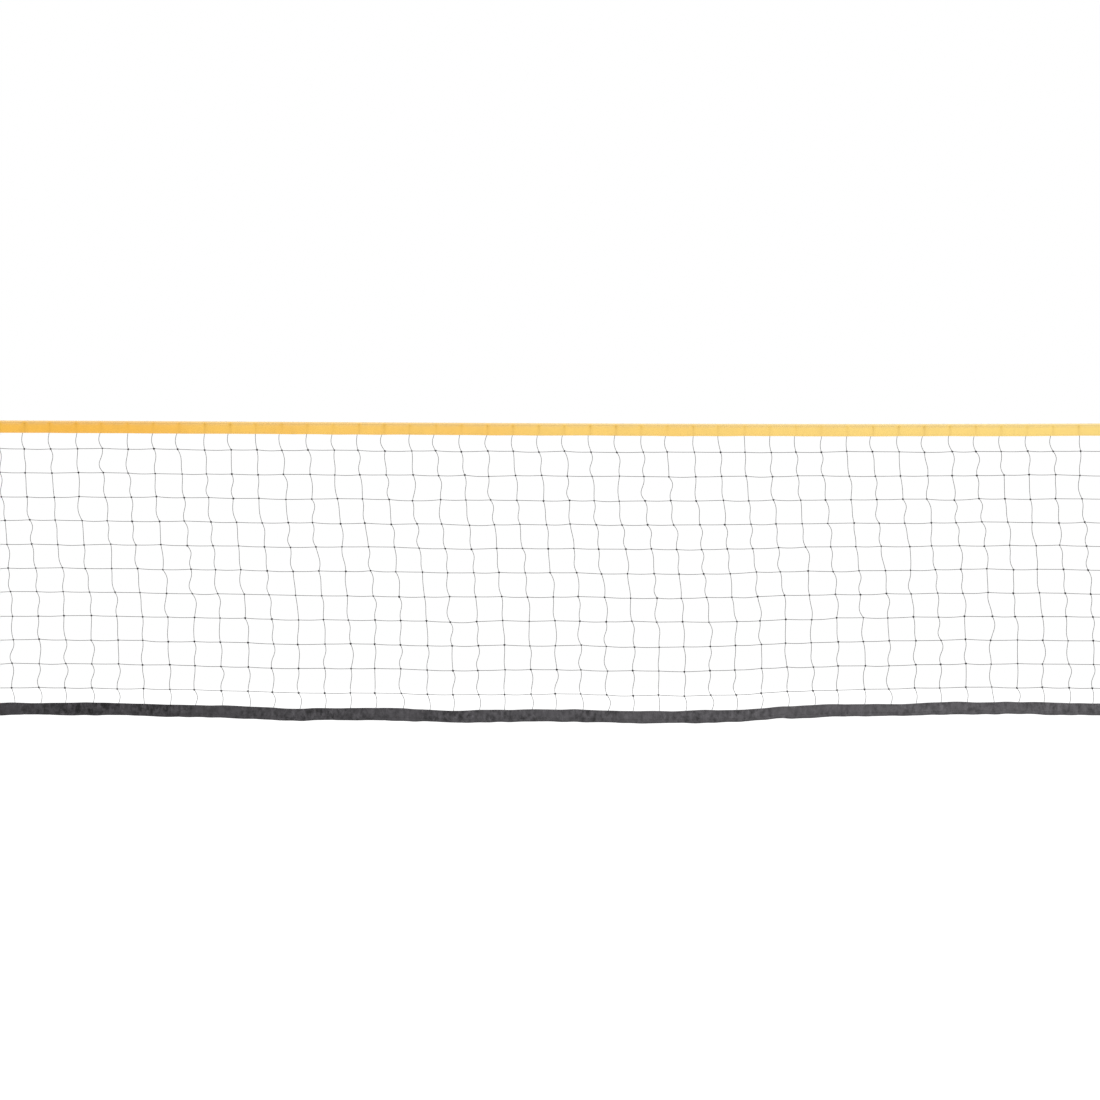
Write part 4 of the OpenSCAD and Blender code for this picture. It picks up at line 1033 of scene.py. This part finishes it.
class NET_OT_cords(bpy.types.Operator):
    """Lays the braided head cord and foot cord, each from dowel to dowel in the fold of its tape"""

    bl_idname = "net.cords"
    bl_label = "Head and foot cords"

    STATIONS, SIDES = 360, 12

    def execute(self, context):
        radius = context.scene.cloth_sizes.cord / 2
        for node, tape in zip(("head_cord", "foot_cord"), tapes()):
            middle, half = span(node, X)
            xs = np.linspace(middle - half, middle + half, self.STATIONS)
            heights = edge_line(node, max)(xs) - radius - tape.hang(xs) - tape.dip(xs)
            cord = Piece()
            sweep(cord, np.column_stack([xs, np.zeros_like(xs), heights]), circle(radius, self.SIDES))
            piece = cord.make(node + "_braid", "cord", smooth=60)
            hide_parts(node)
        return {"FINISHED"}


class NET_OT_tapes(bpy.types.Operator):
    """Folds and sews the top tape and the bottom tape"""

    bl_idname = "net.tapes"
    bl_label = "Top and bottom tapes"

    def execute(self, context):
        columns, half = context.scene.netting_sizes.columns, NetLines().half
        for tape, slot, thread in zip(tapes(), ("head_cloth", "dark_cloth"), ("head_thread", "thread")):
            tape.build(slot, columns, half)
            tape.sew(slot, thread)
        return {"FINISHED"}


# ------------ net ends

PLAY = 0.0003  # between a rod and the cloth or webbing that goes round it


def leave(ring, half):
    """Where a ply [half] off the middle line leaves a ring round the origin: its x, and degrees."""
    return math.sqrt(ring ** 2 - half ** 2), math.degrees(math.asin(half / ring))


def ply_outline(centre, thick):
    """Outline of cloth, [thick] thick, along an open centre line of (x, y) points."""
    ahead = np.gradient(np.asarray(centre), axis=0)
    ahead /= np.linalg.norm(ahead, axis=1, keepdims=True)
    off = np.column_stack([-ahead[:, 1], ahead[:, 0]]) * thick / 2
    return np.concatenate([centre - off, (centre + off)[::-1]])


class SideBand:
    """Cloth folded round the dowel of one side, its two plies sewn together beside the netting.

    Its sections are drawn with the dowel at the origin and the net towards -x.
    """

    PLY = 0.0002               # half of the room between the two plies
    ROOM = 0.002               # between the sleeve and a strap, where the dowel is bare
    TONGUE = 0.004             # beside the straps the cloth ends this far from the dowel
    SWAY = 0.0005              # how far the free edge sways
    SWAYS = 0.03               # in full from this far off the dowel
    EDGE_ROWS = 0.004, 0.0075  # rows of stitches, from the free edge
    DOWEL_ROW = 0.006          # and from the dowel
    PLY_STEPS, LOOP_STEPS, END_STEPS = 9, 28, 6
    TONGUE_STEPS, SLEEVE_STEPS = 6, 90

    def __init__(self, side, sign):
        self.side, self.sign, self.node = side, sign, side + "_side_band"
        self.sizes = bpy.context.scene.cloth_sizes
        self.dowel_x, self.rod = span(side + "_dowel", X)
        self.low, self.high = (corner[Z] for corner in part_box(self.node))
        middle, half = span(self.node, X)
        self.inner = abs(middle) - half - abs(self.dowel_x)
        self.ring = self.rod + PLAY + self.sizes.cloth / 2
        self.ply = self.sizes.cloth / 2 + self.PLY
        self.wobble = waves(50 + sign, 0.09, 0.4, 10)

    def sways(self, x, heights):
        """How far the cloth at x has moved across the net at these heights."""
        return self.wobble(heights) * self.SWAY * np.clip((-x - self.rod) / self.SWAYS, 0, 1)

    def folded(self, end, loop):
        """Centre line of the cloth: one ply to x = [end], the loop, and the other ply back."""
        ply = line((self.inner, -self.ply), (end, -self.ply), self.PLY_STEPS)
        return np.concatenate([ply, loop, ply[::-1] * [1, -1]])

    def build(self):
        """The cloth: a sleeve round the dowel, between a tongue below and one above."""
        strap_low, strap_high = (span(self.side + strap, Z) for strap in ("_bottom_strap", "_top_strap"))
        sleeve_low, sleeve_high = sum(strap_low) + self.ROOM, strap_high[0] - strap_high[1] - self.ROOM
        tip = -self.rod - self.TONGUE
        tongue = self.folded(tip, arc(self.ply, -90, 90, self.END_STEPS, (tip, 0)))
        lead, turn = leave(self.ring, self.ply)
        keyhole = self.folded(-lead, arc(self.ring, turn - 180, 180 - turn, self.LOOP_STEPS))
        band = Piece()
        for centre, start, end, steps in ((tongue, self.low, sleeve_low, self.TONGUE_STEPS),
                                          (keyhole, sleeve_low, sleeve_high, self.SLEEVE_STEPS),
                                          (tongue, sleeve_high, self.high, self.TONGUE_STEPS)):
            heights = np.linspace(start, end, steps)
            x, y = ply_outline(centre, self.sizes.cloth).T
            y = y + self.sways(x, heights[:, None])
            x = np.broadcast_to(self.dowel_x + self.sign * x, y.shape)
            section = np.stack([-y, x], axis=-1)[:, ::self.sign]
            sweep(band, upright(np.zeros((steps, 2)), heights), section, hint=(1, 0, 0))
        piece = band.make(self.node + "_cloth", "dark_cloth", smooth=50)
        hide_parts(self.node)

    def sew(self):
        """Upright rows of stitches on both plies."""
        seam = Piece()
        zs = seam_places(self.low, self.high, self.sizes)
        for face in (-1, 1):
            for spot in (*(self.inner + row for row in self.EDGE_ROWS), -self.rod - self.DOWEL_ROW):
                across = face * (self.ply + self.sizes.cloth / 2) + self.sways(spot, zs)
                places = np.column_stack([np.full(len(zs), self.dowel_x + self.sign * spot), across, zs])
                stitches(seam, places, (0, 0, 1), (0, face, 0), self.sizes.stitch)
        seam.make(self.node + "_stitches", "dark_cloth", smooth=80, finish="thread")


class NET_OT_net_ends(bpy.types.Operator):
    """Folds the side bands round the dowels and sews them"""

    bl_idname = "net.net_ends"
    bl_label = "Side bands"

    def execute(self, context):
        for side, sign in SIDES.items():
            band = SideBand(side, sign)
            band.build()
            band.sew()
        return {"FINISHED"}


# ------------ straps

WEB_PLY = 0.00005  # half of the room between two plies of webbing
BOX_GAP = 0.7      # pitch and length of the stitches of a box, as a share of the stitch gap
RUN_STEPS, DOWEL_STEPS, PIN_STEPS = 24, 24, 20


def strap_path(reach, ring, pin_ring, half):
    """Closed centre line of a strap round the dowel at the origin and round a pin at x = [reach]."""
    lead, turn = leave(ring, half)
    lead_pin, turn_pin = leave(pin_ring, half)
    return np.concatenate([
        line((lead, -half), (reach - lead_pin, -half), RUN_STEPS),
        arc(pin_ring, -180 + turn_pin, 180 - turn_pin, PIN_STEPS, (reach, 0))[:-1],
        line((reach - lead_pin, half), (lead, half), RUN_STEPS),
        arc(ring, turn, 360 - turn, DOWEL_STEPS)[:-1],
    ])


def sewn_box(piece, x0, x1, low, high, y):
    """A sewn box with a cross in it, on the face of a strap at y."""
    gap = bpy.context.scene.cloth_sizes.stitch_gap * BOX_GAP
    routes = [(x0, low), (x1, low), (x1, high), (x0, high), (x0, low), (x1, high)], [(x0, high), (x1, low)]
    for route in routes:
        for start, end in zip(route, route[1:]):
            way = np.subtract(end, start)
            length = np.linalg.norm(way)
            number = max(2, int(length / gap))
            x, z = (start + way * ((np.arange(number) + 0.5) / number)[:, None]).T
            places = np.column_stack([x, np.full(number, y), z])
            ahead = np.array([way[0], 0, way[1]]) / length
            stitches(piece, places, ahead, (0, np.sign(y), 0), gap, BOX_STITCH, (0.1, 1, 0.05))


class NET_OT_straps(bpy.types.Operator):
    """Makes the webbing straps at the poles and the strap on the ratchet"""

    bl_idname = "net.straps"
    bl_label = "Straps"

    BOX = 0.016, 0.046  # where the sewn box starts and ends, from the middle of the dowel
    BOX_EDGE = 0.003    # from the box to the edges of the strap
    TAPER = 0.012       # the doubled part of the tension strap thins out over this length
    ON_ROLL = 0.0006    # between the roll and the end of the tension strap on it
    ROUND_ROLL = 110    # degrees that it goes round the roll
    BARREL = 0.008      # radius of the spindle where the strap is wound
    TAIL = 0.006        # the strap's tail reaches this far past the middle of the spindle
    INSIDE = 0.002      # and its other end stops this far inside the first turn
    TURNS, ROLL_STEPS, TAIL_STEPS = 3, 120, 6
    DOUBLE_STEPS, TAPER_STEPS, SINGLE_STEPS, WRAP_STEPS = 14, 4, 12, 16

    def execute(self, context):
        self.thick = context.scene.cloth_sizes.webbing
        self.anchor("left_top_strap", "left_dowel", "left_top_pin")
        self.anchor("left_bottom_strap", "left_dowel", "left_bottom_pin")
        self.anchor("right_bottom_strap", "right_dowel", "right_bottom_pin")
        self.tension("right_top_strap", "right_dowel")
        self.roll("strap_roll")
        return {"FINISHED"}

    def lay(self, node, path, closed=False, body=NET_BODY):
        """Webbing on edge along a level path (x, y), at its CAD node's height."""
        z, half = span(node, Z)
        strap = Piece()
        sweep(strap, upright(path, z), strip_section(self.thick, 2 * half), hint=(0, 0, 1), closed=closed)
        piece = strap.make(node + "_webbing", "webbing", smooth=40, body=body)
        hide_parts(node)

    def anchor(self, node, dowel, pin):
        """A loop strap from a dowel to a pin, sewn together next to the dowel."""
        dowel_x, rod = span(dowel, X)[0], span(dowel, Y)[1]
        middle, half = span(node, X)
        sign = 1 if middle > dowel_x else -1
        reach = abs(span(pin, X)[0] - dowel_x)
        ring = rod + PLAY + self.thick / 2
        pin_ring = abs(middle - dowel_x) + half - reach - self.thick / 2
        path = strap_path(reach, ring, pin_ring, self.thick / 2 + WEB_PLY) * [sign, 1] + [dowel_x, 0]
        self.lay(node, path[::sign], closed=True)
        z, half_width = span(node, Z)
        start, end = sorted(dowel_x + sign * place for place in self.BOX)
        box_half, off = half_width - self.BOX_EDGE, self.thick + 2 * WEB_PLY
        seam = Piece()
        for y in (-off, off):
            sewn_box(seam, start, end, z - box_half, z + box_half, y)
        seam.make(node + "_stitches", "webbing", smooth=80, finish="thread")

    def tension(self, node, dowel):
        """The strap from the dowel, sewn double, then single to the roll and partly round it."""
        dowel_x, rod = span(dowel, X)[0], span(dowel, Y)[1]
        reach = span("ratchet_wheel", X)[0] - dowel_x
        wrap = span("strap_roll", Y)[1] + self.ON_ROLL + self.thick / 2
        tilt = math.asin(wrap / reach)
        run = reach * math.cos(tilt)
        ring, ply = rod + PLAY + self.thick / 2, self.thick / 2 + WEB_PLY
        lead, turn = leave(ring, ply)
        # in the strap's own line: the doubled part round the dowel, then out to the roll
        own = np.concatenate([
            line((run / 2, ply), (lead, ply), self.DOUBLE_STEPS),
            arc(ring, turn, 360 - turn, DOWEL_STEPS)[:-1],
            line((lead, -ply), (run / 2, -ply), self.DOUBLE_STEPS),
            line((run / 2, -ply), (run / 2 + self.TAPER, 0), self.TAPER_STEPS),
            line((run / 2 + self.TAPER, 0), (run, 0), self.SINGLE_STEPS),
        ])
        c, s = math.cos(-tilt), math.sin(-tilt)
        start = 270 - math.degrees(tilt)
        path = np.concatenate([own @ np.array([[c, s], [-s, c]]),
                               arc(wrap, start, start + self.ROUND_ROLL, self.WRAP_STEPS, (reach, 0))])
        self.lay(node, path + [dowel_x, 0])

    def roll(self, node):
        """The strap wound on the spindle, its tail through the slot."""
        inner = self.BARREL + PLAY + self.thick / 2
        outer = span(node, Y)[1] - self.thick / 2 - 2 * WEB_PLY
        t = np.arange(self.ROLL_STEPS + 1) / self.ROLL_STEPS
        a = np.radians(270 - 360 * self.TURNS * t)
        spiral = (inner + (outer - inner) * t)[:, None] * np.column_stack([np.cos(a), np.sin(a)])
        tail = line((0, self.TAIL), (0, self.INSIDE - inner), self.TAIL_STEPS)
        axle = [span("ratchet_wheel", axis)[0] for axis in (X, Y)]
        self.lay(node, np.concatenate([tail, spiral[1:]]) + axle, body="spindle")


# ------------ studio

class NET_OT_studio(bpy.types.Operator):
    """Sets up the pale floor, the soft lamps and the camera"""

    bl_idname = "net.studio"
    bl_label = "Studio"

    NEAR, FAR = 0.05, 200  # what the camera can see, from and to
    # where each lamp stands, and how large it looks in degrees
    KEY = (-0.45, -0.85, 0.75), 30
    BACK = (0.5, 0.8, 0.9), 40
    FLOOR_GLOW = 0.3  # lifts the floor to white where it is seen, and leaves the shadow

    def execute(self, context):
        scene, s = context.scene, context.scene.studio_settings
        scene.view_settings.view_transform = "Standard"
        self.world(scene, s)
        self.floor(scene, s)
        self.lamp(scene, "key", s.key, *self.KEY)
        self.lamp(scene, "back", s.back, *self.BACK)
        self.camera(scene, s)
        return {"FINISHED"}

    def camera(self, scene, s):
        """A camera square to the net, at its height."""
        camera = bpy.data.cameras.new("camera")
        camera.lens = s.lens
        camera.clip_start = self.NEAR
        camera.clip_end = self.FAR
        seen = bpy.data.objects.new("camera", camera)
        distance = s.view_width * s.lens / camera.sensor_width
        seen.location = (s.aside, -distance, s.aim)
        seen.rotation_euler = (math.pi / 2, 0, 0)
        scene.collection.objects.link(seen)
        scene.camera = seen

    def world(self, scene, s):
        """Even light from all round, and white where it is seen."""
        world = bpy.data.worlds.new("studio")
        scene.world = world
        nodes = Nodes(world)
        back = nodes.tree.nodes["Background"]
        back.inputs["Color"].default_value = (1, 1, 1, 1)
        nodes.put(nodes.seen(s.fill, 1.0), back.inputs["Strength"])

    def floor(self, scene, s):
        """A wide pale floor, which takes the object's shadow."""
        half = s.floor_size / 2
        mesh = bpy.data.meshes.new("floor")
        outline = [(-half, -half, 0), (half, -half, 0), (half, half, 0), (-half, half, 0)]
        mesh.from_pydata(outline, [], [(0, 1, 2, 3)])
        finish = Finish(0.9, name="floor", Base_Color=s.floor, Specular_IOR_Level=0.0,
                        Emission_Color=(1, 1, 1, 1))
        finish.put(finish.seen(0.0, self.FLOOR_GLOW), finish.shader.inputs["Emission Strength"])
        mesh.materials.append(finish.material)
        floor = bpy.data.objects.new("floor", mesh)
        scene.collection.objects.link(floor)

    def lamp(self, scene, name, strength, place, softness):
        """A distant lamp that shines from [place] towards the origin."""
        lamp = bpy.data.lights.new(name, "SUN")
        lamp.energy = strength
        lamp.angle = math.radians(softness)
        made = bpy.data.objects.new(name, lamp)
        direction = -np.array(place) / np.linalg.norm(place)
        made.rotation_euler = Vector(direction).to_track_quat("-Z", "Y").to_euler()
        scene.collection.objects.link(made)


# ------------ panel and registration

OPERATORS = (NET_OT_studio, NET_OT_rigid_finishes, NET_OT_netting, NET_OT_cords, NET_OT_tapes,
             NET_OT_net_ends, NET_OT_straps)
SETTINGS = {"netting_sizes": NettingSizes, "cloth_sizes": ClothSizes, "finish_colours": FinishColours,
            "studio_settings": StudioSettings}


class NET_PT_panel(bpy.types.Panel):
    """Lists the sizes, the colours and the steps of the net"""

    bl_label = "Volleyball net"
    bl_space_type = "VIEW_3D"
    bl_region_type = "UI"
    bl_category = "Net"

    def draw(self, context):
        for step in OPERATORS:
            self.layout.operator(step.bl_idname)
        for name in SETTINGS:
            group = getattr(context.scene, name)
            box = self.layout.box()
            for label in group.__annotations__:
                box.prop(group, label)


def register():
    """Makes the settings, the steps and the panel known to Blender."""
    for cls in (*SETTINGS.values(), *OPERATORS, NET_PT_panel):
        bpy.utils.register_class(cls)
    for name, group in SETTINGS.items():
        setattr(bpy.types.Scene, name, bpy.props.PointerProperty(type=group))


def unregister():
    """Takes them away again, in the opposite order."""
    for name in SETTINGS:
        delattr(bpy.types.Scene, name)
    for cls in (NET_PT_panel, *reversed(OPERATORS), *reversed(SETTINGS.values())):
        bpy.utils.unregister_class(cls)


def main():
    """Registers the add-on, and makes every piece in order."""
    register()
    for step in OPERATORS:
        area, name = step.bl_idname.split(".")
        getattr(getattr(bpy.ops, area), name)()


if __name__ == "__main__":
    main()
